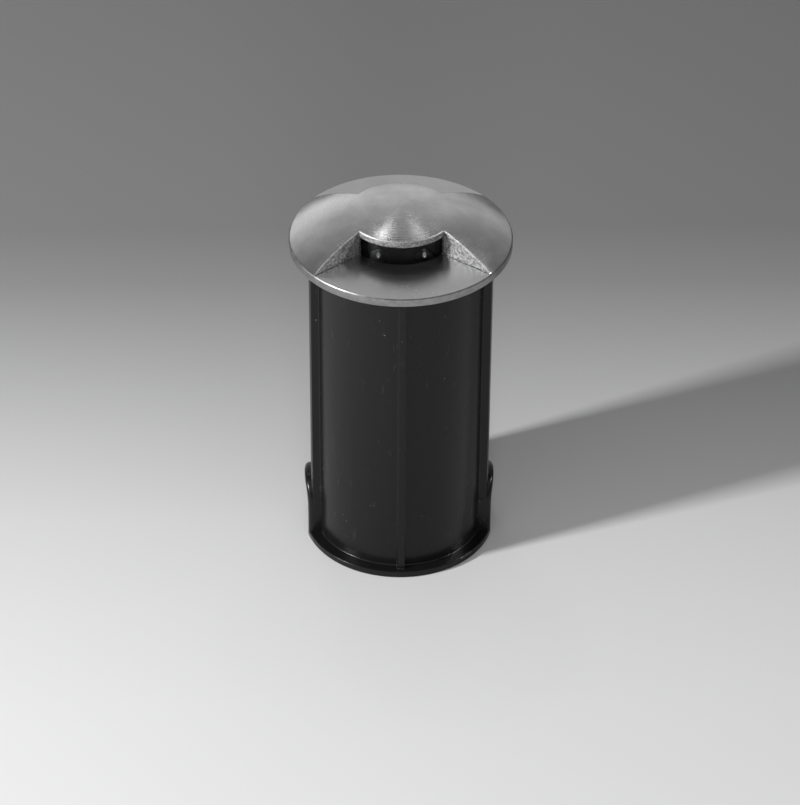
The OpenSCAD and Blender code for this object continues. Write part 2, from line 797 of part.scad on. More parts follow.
module gland_seal() {
    color([0.2, 0.2, 0.2]) translate([0, 0, gland_seal_bottom_z])
        ring(cable_d / 2, gland_seal_r, gland_seal_length);
}

module gland_nut() {
    color([0.14, 0.14, 0.15]) difference() {
        union() {
            translate([0, 0, gland_nut_bottom_z + gland_nut_taper])
                cylinder(r = gland_hex_r, h = gland_nut_length - gland_nut_taper, $fn = 6);
            translate([0, 0, gland_nut_bottom_z])
                cylinder(r1 = gland_flats / 2 - gland_nut_taper, r2 = gland_flats / 2, h = gland_nut_taper);
        }
        translate([0, 0, gland_seal_bottom_z])
            cylinder(r = gland_collar_r + thread_gap, h = gland_nut_top_z - gland_seal_bottom_z + overrun);
        translate([0, 0, gland_nut_bottom_z - overrun]) cylinder(r = gland_mouth_r, h = gland_nut_length);
    }
}

module clip_band() {
    color(screw_colour) difference() {
        translate([0, 0, band_bottom_z]) ring(band_r, band_outer_r, band_height);
        rotate([0, 0, band_split_angle]) translate([0, -band_split / 2, band_bottom_z - overrun])
            cube([band_outer_r + overrun, band_split, band_height + 2 * overrun]);
        at_clips() translate([band_r - overrun, 0, band_bottom_z + band_height / 2]) rotate([0, 90, 0])
            cylinder(r = rivet_r + thread_gap, h = band_thickness + 2 * overrun);
    }
}

// A leaf spring: a flat tab on the band, and a bow that reaches out to the sleeve
module spring_clips() {
    color([0.6, 0.62, 0.64]) at_clips() difference() {
        union() {
            translate([clip_face_r, -clip_width / 2, band_bottom_z - clip_thickness])
                cube([clip_thickness, clip_width, band_height + clip_thickness]);
            intersection() {
                translate([clip_arc_x, clip_width / 2, band_bottom_z - clip_half]) rotate([90, 0, 0])
                    ring(clip_arc_r - clip_thickness, clip_arc_r, clip_width);
                translate([clip_face_r, -clip_width, band_bottom_z - clip_bow_height])
                    cube([clip_reach_r, 2 * clip_width, clip_bow_height]);
            }
        }
        translate([clip_face_r - overrun, 0, band_bottom_z + band_height / 2]) rotate([0, 90, 0])
            cylinder(r = rivet_r + thread_gap, h = clip_thickness + 2 * overrun);
    }
}

module clip_rivets() {
    color(screw_colour) at_clips() translate([band_r + free_gap, 0, band_bottom_z + band_height / 2])
        rotate([0, 90, 0]) {
            cylinder(r = rivet_r, h = clip_back_r - band_r - free_gap + rivet_head_height);
            translate([0, 0, clip_back_r - band_r - free_gap])
                cylinder(r = rivet_head_r, h = rivet_head_height);
        }
}

ground_sleeve();
seat_gasket();
top_cover();
cover_screws();
lens_cup();
lens_gasket();
lamp_housing();
led_carrier();
carrier_screws();
front_led_board();
rear_led_board();
front_leds();
rear_leds();
front_dome_lenses();
rear_dome_lenses();
board_screws();
led_shroud();
lead_wires();
driver_board();
driver_coil();
driver_capacitors();
driver_chips();
terminal_block();
end_cap();
end_cap_seal();
end_cap_screws();
gland_body();
gland_gasket();
gland_seal();
gland_nut();
clip_band();
spring_clips();
clip_rivets();
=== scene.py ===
import math
from types import SimpleNamespace

import bmesh
import bpy
from bpy.props import FloatProperty, FloatVectorProperty, IntProperty, PointerProperty
from mathutils import Matrix, Vector


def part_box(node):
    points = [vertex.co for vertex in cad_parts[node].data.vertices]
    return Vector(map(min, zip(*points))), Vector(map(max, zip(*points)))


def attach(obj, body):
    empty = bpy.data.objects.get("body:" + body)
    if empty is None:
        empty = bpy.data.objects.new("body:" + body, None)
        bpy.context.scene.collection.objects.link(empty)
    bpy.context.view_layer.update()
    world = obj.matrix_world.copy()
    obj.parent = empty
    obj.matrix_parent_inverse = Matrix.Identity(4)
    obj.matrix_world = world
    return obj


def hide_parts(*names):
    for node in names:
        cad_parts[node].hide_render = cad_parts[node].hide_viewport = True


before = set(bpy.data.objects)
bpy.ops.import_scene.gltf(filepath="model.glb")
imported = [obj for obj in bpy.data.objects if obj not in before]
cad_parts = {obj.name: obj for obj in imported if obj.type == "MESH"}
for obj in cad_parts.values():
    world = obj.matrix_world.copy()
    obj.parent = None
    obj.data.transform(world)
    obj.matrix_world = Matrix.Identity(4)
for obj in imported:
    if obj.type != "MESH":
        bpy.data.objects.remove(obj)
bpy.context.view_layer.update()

bl_info = {
    "name": "In-ground marker light",
    "version": (1, 0, 0),
    "blender": (4, 5, 0),
    "location": "3D View > Sidebar > Marker light",
    "description": "Builds the looks of a walk-over marker light and its ground sleeve",
    "category": "Object",
}

MM = 0.001
MICRON = 0.000001
METAL = {"Metallic": 1.0}


# Sizes and colours

def length(label, text, default):
    """A size in metres, given here in millimetres."""
    return FloatProperty(name=label, description=text, default=default * MM, unit="LENGTH", precision=5)


def angle(label, text, default):
    """An angle in radians, given here in degrees."""
    return FloatProperty(name=label, description=text, default=math.radians(default), subtype="ANGLE")


def colour(label, text, default):
    """A linear colour."""
    return FloatVectorProperty(name=label, description=text, default=default, size=3, min=0, max=1,
                               subtype="COLOR")


def node_size(node, axis, side):
    """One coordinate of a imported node's box, in millimetres."""
    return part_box(node)[side][axis] / MM


def spanned(box):
    """A box's foot, top and reach to the right, in millimetres."""
    return box[0].z / MM, box[1].z / MM, box[1].x / MM


class CoverSizes(bpy.types.PropertyGroup):
    radius: length("Cover radius", "From the axis to the rim", node_size("top_cover", 0, 1))
    bottom: length("Rim's underside", "Height of the face that lies on the paving",
                   node_size("top_cover", 2, 0))
    apex: length("Crown's top", "Height of the highest point", node_size("top_cover", 2, 1))
    rim: length("Rim height", "Height of the upright rim", 3)
    bevel: length("Rim bevel", "Bevel round the rim's top edge", 0.4)
    brow: length("Brow radius", "Radius of the two brows", 18.3)
    cavity: length("Cavity radius", "Radius of the room behind the windows", 17.6)
    window: length("Window height", "Height of a window over the recess floor", 7.3)
    headroom: length("Headroom", "Cavity height over the windows", 0.4)
    edge: length("Edge round", "Rounding along the tops of the walls and brows", 0.42)
    fillet: length("Foot fillet", "Cast fillet between a wall and the recess floor", 0.35)
    spread: angle("Recess half angle", "Half the angle of a light recess", 51)


class SleeveSizes(bpy.types.PropertyGroup):
    height: length("Sleeve height", "From the foot to the mouth", node_size("ground_sleeve", 2, 1))
    tube: length("Tube radius", "Outer radius of the tube", 29.6)
    bore: length("Bore radius", "Inner radius of the tube", 27.2)
    mouth: length("Mouth bevel", "Bevel inside the mouth", 0.6)
    flange: length("Flange radius", "Outer radius of the foot flange", node_size("ground_sleeve", 0, 1))
    flange_height: length("Flange height", "Thickness of the foot flange", 2.4)
    fillet: length("Foot fillet", "Bevel between the tube and its flange", 0.5)
    rib: length("Rib thickness", "Thickness of every rib", 2.6)
    centre_rib: length("Centre rib reach", "Reach of the front and rear ribs from the axis", 31.8)
    side_rib: length("Side rib reach", "Radius over the side ribs", 32.2)
    side_span: length("Side rib span", "Distance over a pair of side ribs", 19.2)
    hood_width: length("Hood width", "Width of a cable hood", 20.9)
    hood_height: length("Hood height", "Height of a cable hood", 22.8)
    hood_corner: length("Hood corner", "Corner radius of a cable hood", 9.6)
    hood_wall: length("Hood wall", "Wall of a cable hood", 2.3)


class LampSizes(bpy.types.PropertyGroup):
    cup: length("Lens cup radius", "Outer radius of the clear cup", 17.4)
    cup_wall: length("Lens cup wall", "Wall of the clear cup", 1.4)
    dome: length("Dome radius", "Radius of a light source's dome", 3.2)
    dome_spacing: length("Dome spacing", "Distance between a window's two domes", 15.4)
    dome_seat: length("Dome seat", "From the axis to the foot of a dome", 8.7468)
    dome_height: length("Dome height", "Height of the domes over the foot", 121.1)
    dome_skirt: length("Dome skirt", "Straight part under a dome", 1.1)
    housing: length("Housing radius", "Outer radius of the lamp housing", 19)
    housing_bore: length("Housing bore", "Bore radius of the lamp housing", 16.8)
    flange: length("Top flange radius", "Radius of the housing's top flange", 26.6)
    flange_height: length("Top flange height", "Thickness of the housing's top flange", 5.5)
    bottom: length("Housing foot", "Height of the housing's lower end", 50)
    cap: length("End cap height", "Thickness of the end cap", 3.5)
    ears: IntProperty(name="Screw ears", description="Number of screw ears on the end cap", default=3,
                      min=2, max=6)
    ear_circle: length("Ear circle", "From the axis to a screw ear's middle", 20.8)
    ear: length("Ear radius", "Radius of a screw ear", 3.2)
    ear_height: length("Ear height", "Height of the housing's screw ears", 8)


class GlandSizes(bpy.types.PropertyGroup):
    flats: length("Wrench size", "Across the flats of the gland's two hexagons", 19)
    hexagon_foot: length("Hexagon's foot", "Height of the foot of the body's hexagon", 41)
    hexagon_top: length("Hexagon's top", "Height of the top of the body's hexagon", 45)
    collar: length("Collar radius", "Radius of the body's collar in the nut", 7.55)
    thread: length("Thread radius", "Radius of the body's thread in the end cap", 8)
    bore: length("Bore radius", "Inner radius of the body", 5.5)
    seat: length("Seal seat radius", "Inner radius of the body round the seal", 6.15)
    seat_top: length("Seal seat's top", "Height of the step over the seal", 39.5)
    mouth: length("Nut mouth radius", "Radius of the nut's cable hole", 4.6)
    nut_bore: length("Nut bore radius", "Inner radius of the nut round the collar", 7.6)
    nut_end: length("Nut end", "Thickness of the nut's lower end", 2.5)
    cable: length("Cable radius", "Inner radius of the rubber seal", 3.5)


class FinishColours(bpy.types.PropertyGroup):
    steel: colour("Turned steel", "The turned crown and rim", (0.56, 0.56, 0.565))
    cast: colour("Cast steel", "The grainy cast walls", (0.54, 0.54, 0.54))
    plastic: colour("Sleeve plastic", "Moulded black plastic of the sleeve", (0.006, 0.006, 0.0062))
    gloss: colour("Shroud plastic", "Glossy black behind the windows", (0.011, 0.011, 0.0112))
    coat: colour("Housing coat", "Black powder coat of the housing", (0.03, 0.03, 0.032))
    rubber: colour("Rubber", "Seals and gaskets", (0.018, 0.018, 0.018))
    nylon: colour("Gland nylon", "Moulded nylon of the gland", (0.025, 0.025, 0.027))
    floor: colour("Floor", "The studio floor in front of the light", (0.62, 0.62, 0.625))
    # The far side's grey is painted shade: the floor's colour grows darker from front to back in place of
    # the light falling off.
    floor_back: colour("Floor, far side", "The graded studio floor behind the light", (0.19, 0.19, 0.19))


class MarkerLight(bpy.types.PropertyGroup):
    cover: PointerProperty(type=CoverSizes)
    sleeve: PointerProperty(type=SleeveSizes)
    lamp: PointerProperty(type=LampSizes)
    gland: PointerProperty(type=GlandSizes)
    finish: PointerProperty(type=FinishColours)


def sizes(name):
    """One group of this scene's sizes, its lengths in millimetres."""
    group = getattr(bpy.context.scene.marker_light, name)
    values = SimpleNamespace()
    for key in type(group).__annotations__:
        value = getattr(group, key)
        is_length = group.bl_rna.properties[key].unit == "LENGTH"
        setattr(values, key, value / MM if is_length else value)
    return values


# Shader maths

class Value:
    """A shader socket that takes part in plain arithmetic."""

    def __init__(self, finish, socket):
        self.finish = finish
        self.socket = socket

    def math(self, operation, *others):
        node = self.finish.node("ShaderNodeMath", {"operation": operation}, dict(enumerate((self, *others))))
        return Value(self.finish, node.outputs[0])

    def __add__(self, other):
        return self.math("ADD", other)

    __radd__ = __add__

    def __sub__(self, other):
        return self.math("SUBTRACT", other)

    def __rsub__(self, other):
        return self * -1 + other

    def __mul__(self, other):
        return self.math("MULTIPLY", other)

    __rmul__ = __mul__

    def __truediv__(self, other):
        return self.math("DIVIDE", other)

    def __pow__(self, other):
        return self.math("POWER", other)


class Finish:
    """One procedural material or surrounding. Every node in it comes from the node method."""

    def __init__(self, name, owners=None):
        owners = bpy.data.materials if owners is None else owners
        self.material = owners.new(name)
        self.material.use_nodes = True
        self.tree = self.material.node_tree
        self.tree.nodes.clear()

    def node(self, kind, settings=None, inputs=None):
        """Adds a node, sets its settings, then its sockets to values or links; None leaves one alone."""
        node = self.tree.nodes.new(kind)
        for key, value in (settings or {}).items():
            if key == "stops":
                ramp = node.color_ramp
                while len(ramp.elements) < len(value):
                    ramp.elements.new(0.5)
                for element, (position, level) in zip(ramp.elements, value):
                    element.position = position
                    element.color = (level, level, level, 1)
            else:
                setattr(node, key, value)
        for key, value in (inputs or {}).items():
            socket = node.inputs[key]
            if isinstance(value, Value):
                self.tree.links.new(value.socket, socket)
            elif value is not None:
                socket.default_value = value
        return node

    def value(self, kind, settings=None, inputs=None, output=0):
        """Adds a node and wraps one of its outputs."""
        return Value(self, self.node(kind, settings, inputs).outputs[output])

    def place(self):
        """Where a point of the piece is, in metres, whatever pose it is in."""
        return self.value("ShaderNodeTexCoord", output="Object")

    def axes(self):
        """The three coordinates of that place."""
        parts = self.node("ShaderNodeSeparateXYZ", {}, {0: self.place()})
        return [Value(self, socket) for socket in parts.outputs]

    def noise(self, scale, detail=2.0, rough=0.5, vector=None):
        """Soft noise from 0 to 1; a scale for each axis stretches it."""
        if isinstance(scale, tuple):
            stretch = {0: self.place(), 1: scale}
            vector = self.value("ShaderNodeVectorMath", {"operation": "MULTIPLY"}, stretch)
            scale = 1
        return self.value("ShaderNodeTexNoise", {}, {"Vector": vector or self.place(), "Scale": scale,
                                                    "Detail": detail, "Roughness": rough})

    def cells(self, scale):
        """Distance to the nearest of many scattered points."""
        return self.value("ShaderNodeTexVoronoi", {}, {"Vector": self.place(), "Scale": scale}, "Distance")

    def rings(self, pitch):
        """Fine turning marks round the upright axis, from 0 to 1."""
        x, y, _ = self.axes()
        across = self.value("ShaderNodeCombineXYZ", {}, {0: (x * x + y * y) ** 0.5})
        return self.noise(1 / pitch, 3.0, 0.6, across)

    def ramp(self, factor, *stops):
        """Turns a value into another by stops of position and level."""
        return self.value("ShaderNodeValToRGB", {"stops": stops}, {0: factor})

    def facing(self, ways, direction):
        """How nearly a way points in a direction: 1 where it does, 0 from square on."""
        inputs = {0: ways, 1: Vector(direction).normalized()}
        return self.value("ShaderNodeVectorMath", {"operation": "DOT_PRODUCT"}, inputs, "Value")

    def mixed(self, factor, first, second):
        """Blends two colours."""
        inputs = {"Factor": factor}
        for socket, shade in ((6, first), (7, second)):
            inputs[socket] = shade if isinstance(shade, Value) else (*shade, 1)
        return self.value("ShaderNodeMix", {"data_type": "RGBA"}, inputs, 2)

    def shade(self, base, noise, dark, light, low=None, high=None):
        """A colour between two tints of a base, by a noise or by its stretch from low to high."""
        factor = noise if low is None else self.ramp(noise, (low, 0), (high, 1))
        return self.mixed(factor, tinted(base, dark), tinted(base, light))

    def varied(self, level, *swings):
        """A level that noises swing about, each by its own full swing."""
        for noise, swing in swings:
            if swing:
                level = (noise - 0.5) * swing + level
        return level

    def bump(self, relief, depth, strength, under=None):
        """A normal bent by a relief whose full height is depth microns."""
        return self.value("ShaderNodeBump", {}, {"Height": relief, "Distance": depth * MICRON,
                                                 "Strength": strength, "Normal": under})

    def surface(self, shade, rough, normal, constants=None):
        """Ends the material in one Principled shader."""
        inputs = {"Base Color": shade if isinstance(shade, Value) else (*shade, 1), "Roughness": rough,
                  "Normal": normal}
        inputs.update(constants or {})
        shader = self.value("ShaderNodeBsdfPrincipled", {}, inputs)
        self.node("ShaderNodeOutputMaterial", {}, {"Surface": shader})
        return self.material


def tinted(base, factor):
    """A colour made lighter or darker."""
    return tuple(min(channel * factor, 1) for channel in base)


def tone(name):
    """One of the scene's colours."""
    return tuple(getattr(bpy.context.scene.marker_light.finish, name))


def turned_steel():
    """Satin steel with fine turning marks, light stains and handled patches."""
    finish = Finish("turned_steel")
    base = tone("steel")
    ring = finish.rings(0.16 * MM)
    broad = finish.rings(0.7 * MM)
    stain = finish.noise(95, 4.0, 0.6)
    patch = finish.noise(38)
    handled = finish.ramp(patch, (0.42, 0), (0.66, 1)) * 0.35
    shade = finish.mixed(handled, finish.shade(base, stain, 0.84, 1.10, 0.35, 0.7), tinted(base, 0.7))
    rough = finish.varied(0.25, (broad, 0.20), (patch, 0.14), (stain, 0.14))
    relief = finish.bump(ring, 20, 0.25, finish.bump(broad, 40, 0.3))
    return finish.surface(shade, rough, relief, {**METAL, "Anisotropic": 0.7, "Anisotropic Rotation": 0.25})


def rim_steel():
    """The rim's turned face, with marks that run round it and small knocks; its steel is tinted about half
    as light as the crown's, painted shade on the upright rim.
    """
    finish = Finish("rim_steel")
    marks = finish.noise((60, 60, 5200), 3.0, 0.6)
    knocks = finish.noise(420, 3.0, 0.6)
    # Painted shade: the rim's steel tints, 0.45 to 0.61, are far below the crown's 0.84 to 1.10.
    shade = finish.shade(tone("steel"), knocks, 0.45, 0.61, 0.4, 0.72)
    rough = finish.varied(0.34, (marks, 0.20), (knocks, 0.24))
    relief = finish.bump(marks + knocks * 0.5, 40, 0.4)
    return finish.surface(shade, rough, relief, {**METAL, "Anisotropic": 0.3})


def clouded(name, base, grain, cloud, tints, rough, relief, constants=None, under=None):
    """A fine grain over a soft cloud.

    The two noises have a scale, a detail and a roughness. The cloud tints the base between two
    tints, over a stretch of it where one is given, and both swing the roughness. The relief, and
    the one under it by the cloud, has a depth in microns and a strength.
    """
    finish = Finish(name)
    fine = finish.noise(*grain)
    soft = finish.noise(*cloud)
    level, fine_swing, soft_swing = rough
    lower = finish.bump(soft, *under) if under else None
    return finish.surface(finish.shade(base, soft, *tints),
                          finish.varied(level, (fine, fine_swing), (soft, soft_swing)),
                          finish.bump(fine, *relief, lower), constants)


def grained_steel(name, scale, detail, tints, level, relief, metal=1.0, pits=None):
    """Steel whose bright and dark grain is its relief too, with pits in it where they are given."""
    finish = Finish(name)
    grain = finish.noise(scale, 3.0, detail)
    under = finish.bump(finish.cells(pits[0]), *pits[1:]) if pits else None
    return finish.surface(finish.shade(tone("cast"), grain, *tints), finish.varied(level, (grain, 0.3)),
                          finish.bump(grain, *relief, under), {"Metallic": metal})


def floor_steel():
    """The recess floor: evenly satin, with a faint cast unevenness."""
    return clouded("floor_steel", tone("steel"), (1500, 2.0, 0.6), (110, 3.0, 0.55), (0.84, 1.04),
                   (0.26, 0.03, 0.06), (2, 0.2), METAL, (50, 0.15))


def hidden_steel():
    """The cover's underside and the room behind its windows, dull as cast."""
    return clouded("hidden_steel", tone("cast"), (1700, 4.0, 0.65), (90, 3.0, 0.5), (0.45, 0.75, 0.35, 0.7),
                   (0.5, 0.25, 0.0), (100, 0.7), METAL)


def cover_finishes():
    """The cover's materials in the order of its slots: crown, walls, floor, edges, inside, rim, corners. The
    rim's steel is darkened as painted shade, and the corners' steel is near black as painted shade in the
    wall feet and window sides.
    """
    return [turned_steel(),
            grained_steel("cast_steel", 1250, 0.7, (0.30, 0.92, 0.40, 0.60), 0.72, (220, 0.9),
                          pits=(1500, 120, 0.5)),
            floor_steel(),
            grained_steel("edge_steel", 1900, 0.6, (0.40, 0.85, 0.35, 0.60), 0.50, (80, 0.6)),
            hidden_steel(), rim_steel(),
            # The corner steel is painted shade: a near-black cast grain along the walls' foot fillets and
            # the window sides, where shade falls.
            grained_steel("corner_steel", 1500, 0.7, (0.06, 0.50, 0.42, 0.66), 0.66, (120, 0.8), 0.8)]


def sleeve_plastic():
    """Black moulded plastic: a fine spark-eroded grain, flow bands, scuffs and dust specks."""
    finish = Finish("sleeve_plastic")
    grain = finish.noise(2600, 2.0, 0.6)
    flow = finish.noise((150, 150, 9))
    worn = finish.ramp(finish.noise((420, 420, 120), 4.0, 0.7), (0.62, 0), (0.82, 1))
    dust = finish.ramp(finish.cells(330), (0.0, 1), (0.035, 1), (0.07, 0))
    dusty = finish.ramp(finish.noise(60), (0.52, 0), (0.62, 1))
    shade = finish.shade(tone("plastic"), flow, 0.82, 1.2)
    shade = finish.mixed(worn * 0.35, shade, (0.06, 0.06, 0.062))
    shade = finish.mixed(dust * dusty * 0.55, shade, (0.32, 0.32, 0.31))
    rough = finish.varied(0.25, (grain, 0.10), (flow, 0.08)) + worn * 0.12
    relief = finish.bump(grain, 30, 0.35, finish.bump(flow, 250, 0.18))
    return finish.surface(shade, rough, relief, {"Specular IOR Level": 0.22})


def powder_coat():
    """Black powder coat on the die-cast housing: fine orange peel and rubbed patches."""
    finish = Finish("powder_coat")
    base = tone("coat")
    peel = finish.noise(1100)
    rub = finish.ramp(finish.noise((260, 260, 60), 4.0, 0.65), (0.6, 0), (0.85, 1))
    shade = finish.mixed(rub * 0.5, base, tinted(base, 2.2))
    return finish.surface(shade, finish.varied(0.42, (peel, 0.2)) + rub * 0.1, finish.bump(peel, 80, 0.5))


def gloss_black():
    """Glossy black plastic with the faintest unevenness."""
    cloud = (240, 2.0, 0.5)
    return clouded("gloss_black", tone("gloss"), cloud, cloud, (0.7, 1.3), (0.20, 0.08, 0.0), (30, 0.2),
                   {"Specular IOR Level": 0.04})


def moulded_black(name, base, rough, grain):
    """Black mouldings and rubber, with a soft grain and slight shade changes."""
    return clouded(name, tone(base), (grain, 2.0, 0.6), (170, 3.0, 0.55), (0.75, 1.35),
                   (rough, 0.18, 0.12), (40, 0.45))


def bright_steel(name, base, rough):
    """Stainless screws, springs and band, drawn and lightly handled."""
    return clouded(name, base, ((500, 500, 3800), 3.0, 0.6), (260, 3.0, 0.6), (0.78, 1.12),
                   (rough, 0.2, 0.12), (30, 0.3), METAL)


def painted(name, base, rough, grain=900):
    """Small inner parts: a slightly uneven, lightly grained coat."""
    return clouded(name, base, (grain, 3.0, 0.6), (210, 2.0, 0.5), (0.82, 1.12), (rough, 0.2, 0.0),
                   (40, 0.4))


def clear_plastic(name, tint, rough, index):
    """Clear moulded plastic, with the faintest flow in its polish."""
    finish = Finish(name)
    flow = finish.noise(130)
    return finish.surface(tint, flow * 0.02 + rough, finish.bump(flow, 20, 0.15),
                          {"Transmission Weight": 1.0, "IOR": index})


def light_chip():
    """A dark light-source package with a small pale emitter in its middle."""
    finish = Finish("light_chip")
    values = sizes("lamp")
    x, _, z = finish.axes()
    aside = x.math("ABSOLUTE") / MM - values.dome_spacing / 2
    above = z / MM - (values.dome_height - 0.5)
    away = (aside * aside * 1.6 + above * above * 0.6) ** 0.5
    emitter = finish.ramp(away, (0.40, 1), (0.48, 0))
    grain = finish.noise(2200)
    shade = finish.mixed(emitter, (0.012, 0.012, 0.012), (0.92, 0.92, 0.88))
    return finish.surface(shade, grain * 0.2 + 0.3, finish.bump(grain, 30, 0.3))


def wound_copper():
    """A wound coil: copper turns side by side."""
    finish = Finish("wound_copper")
    turns = finish.noise((120, 2600, 120), 1.0, 0.4)
    shade = finish.mixed(turns, (0.16, 0.06, 0.025), (0.5, 0.22, 0.09))
    return finish.surface(shade, turns * 0.2 + 0.3, finish.bump(turns, 200, 0.7), {"Metallic": 0.8})


# Mesh making

CREASE = 35.0
MOULDED_CREASE = 32.0
HEXAGON_CREASE = 30.0
EVEN_WEIGHT = 80
WELD = 0.004 * MM
FEWEST_FACES = 8
TUBE_SEGMENTS = 180
LATHE_SEGMENTS = 128
SEAL_SEGMENTS = 72
DOME_SEGMENTS = 48


class Patchwork:
    """Collects faces patch by patch in millimetres, joins shared corners and makes one mesh."""

    def __init__(self):
        self.points = []
        self.known = {}
        self.faces = []
        self.slots = []

    def corner(self, point):
        key = tuple(round(value, 4) + 0.0 for value in point)
        if key not in self.known:
            self.known[key] = len(self.points)
            self.points.append(key)
        return self.known[key]

    def face(self, corners, slot=0):
        """Adds a face, leaving out corners that fall together."""
        ring = list(dict.fromkeys(corners))
        if len(ring) > 2:
            self.faces.append(ring)
            self.slots.append(slot)

    def grid(self, rows, slot=0, closed=False):
        """Fills rows of points with faces; a closed grid joins each row's ends."""
        indices = [[self.corner(point) for point in row] for row in rows]
        for lower, upper in zip(indices, indices[1:]):
            count = len(lower)
            for i in range(count if closed else count - 1):
                j = (i + 1) % count
                self.face((lower[i], lower[j], upper[j], upper[i]), slot)

    def stack(self, rows):
        """Joins closed rows to a solid with a flat face at each end."""
        self.grid(rows, closed=True)
        for row in (rows[0], rows[-1]):
            self.face([self.corner(point) for point in row])

    def zip(self, first, second, slot):
        """Joins two rows of different lengths, by the share of each row's run."""
        a = [self.corner(point) for point in first]
        b = [self.corner(point) for point in second]
        i = j = 0
        while i < len(a) - 1 or j < len(b) - 1:
            step_a = (i + 1) / (len(a) - 1) if i < len(a) - 1 else 2
            step_b = (j + 1) / (len(b) - 1) if j < len(b) - 1 else 2
            if step_a <= step_b:
                self.face((a[i], a[i + 1], b[j]), slot)
                i += 1
            else:
                self.face((a[i], b[j + 1], b[j]), slot)
                j += 1

    def mirrored(self):
        """This patchwork with its mirror images about both upright planes."""
        whole = Patchwork()
        for side in (1, -1):
            for front in (1, -1):
                moved = [(x * side, y * front, z) for x, y, z in self.points]
                for ring, slot in zip(self.faces, self.slots):
                    whole.face([whole.corner(moved[i]) for i in ring], slot)
        return whole

    def piece(self, name, materials, crease=CREASE):
        """Makes the object, with its faces outward and its creases sharp."""
        data = bpy.data.meshes.new(name)
        data.from_pydata([Vector(point) * MM for point in self.points], [], self.faces)
        for material in materials:
            data.materials.append(material)
        data.polygons.foreach_set("material_index", self.slots)
        work = bmesh.new()
        work.from_mesh(data)
        bmesh.ops.recalc_face_normals(work, faces=work.faces)
        work.to_mesh(data)
        work.free()
        return finished(name, data, crease)


def evened(piece):
    """Adds the modifier that evens a piece's shading between its creases."""
    even = piece.modifiers.new("even_normals", "WEIGHTED_NORMAL")
    even.keep_sharp = True
    return even


def finished(name, data, crease):
    """Links a mesh as a piece with soft shading between its creases."""
    data.polygons.foreach_set("use_smooth", [True] * len(data.polygons))
    data.set_sharp_from_angle(angle=math.radians(crease))
    piece = bpy.data.objects.new(name, data)
    bpy.context.scene.collection.objects.link(piece)
    evened(piece).weight = EVEN_WEIGHT
    return piece


def polar(radius, turn, height):
    """A point at a radius and a turn from the front towards the right."""
    return (radius * math.sin(turn), -radius * math.cos(turn), height)


def arc(radius, turns, height):
    """A row of points at one radius and height."""
    return [polar(radius, turn, height) for turn in turns]


def spaced(start, end, count):
    """Evenly spaced values from start to end, both included."""
    return [start + (end - start) * i / count for i in range(count + 1)]


def quarter(steps):
    """Angles over a quarter turn."""
    return spaced(0, math.pi / 2, steps)


def rolled(size, steps):
    """A quarter round in steps: how far it has come one way, and how far it still goes the other."""
    return [(size * (1 - math.cos(bend)), size * (1 - math.sin(bend))) for bend in quarter(steps)]


def revolved(profile, segments, closed=True, patch=None, turn=None):
    """Turns a profile of radius and height round the upright axis."""
    patch = patch or Patchwork()
    turn = turn or Matrix.Identity(4)
    turns = [2 * math.pi * i / segments for i in range(segments)]
    loop = profile + profile[:1] if closed else profile
    patch.grid([[turn @ Vector(point) for point in arc(radius, turns, height)] for radius, height in loop],
               closed=True)
    return patch


def rounded(corners, steps=3):
    """A closed profile through corners, each with its radius, height and rounding."""
    result = []
    places = [Vector(corner[:2]) for corner in corners]
    for i, (radius, height, size) in enumerate(corners):
        if not size:
            result.append((radius, height))
            continue
        here = places[i]
        before = (places[i - 1] - here).normalized()
        after = (places[(i + 1) % len(corners)] - here).normalized()
        half = before.angle(after) / 2
        reach = size / math.tan(half)
        centre = here + (before + after).normalized() * (size / math.sin(half))
        first = here + before * reach - centre
        last = here + after * reach - centre
        for share in spaced(0, 1, steps):
            arm = first * (1 - share) + last * share
            result.append(tuple(centre + arm.normalized() * size))
    return result


def bare(name, patch):
    """A patchwork as a plain object, for booleans."""
    piece = patch.piece(name, [])
    piece.modifiers.clear()
    return piece


def cut(piece, cutter, operation):
    """Applies an exact boolean of one object to another and removes the cutter."""
    work = piece.modifiers.new("shape", "BOOLEAN")
    work.operation = operation
    work.solver = "EXACT"
    work.object = cutter
    bpy.context.view_layer.update()
    graph = bpy.context.evaluated_depsgraph_get()
    data = bpy.data.meshes.new_from_object(piece.evaluated_get(graph))
    tidy = bmesh.new()
    tidy.from_mesh(data)
    bmesh.ops.remove_doubles(tidy, verts=tidy.verts, dist=WELD)
    bmesh.ops.dissolve_degenerate(tidy, edges=tidy.edges, dist=WELD)
    torn = sum(len(edge.link_faces) != 2 for edge in tidy.edges)
    if torn or len(tidy.faces) < FEWEST_FACES:
        raise RuntimeError(f"the {operation.lower()} of {piece.name} and {cutter.name} isn't closed: {torn}")
    tidy.to_mesh(data)
    tidy.free()
    piece.modifiers.clear()
    piece.data = data
    bpy.data.objects.remove(cutter)


def carved(name, material, start, *steps):
    """A piece made by booleans, each step with its operation and its patchwork."""
    work = bare("work", start)
    for operation, patch in steps:
        cut(work, bare("cutter", patch), operation)
    data = work.data
    bpy.data.objects.remove(work)
    data.materials.clear()
    data.materials.append(material)
    return finished(name, data, MOULDED_CREASE)


def place(piece, body, nodes):
    """Fixes a piece to its body and hides the imported nodes it stands for."""
    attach(piece, body)
    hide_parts(*nodes)


# The cover

# The corner slot carries painted shade along the wall feet and on the window sides.
CROWN, WALL, FLOOR, EDGE, INSIDE, RIM, SHADED_CORNER = range(7)


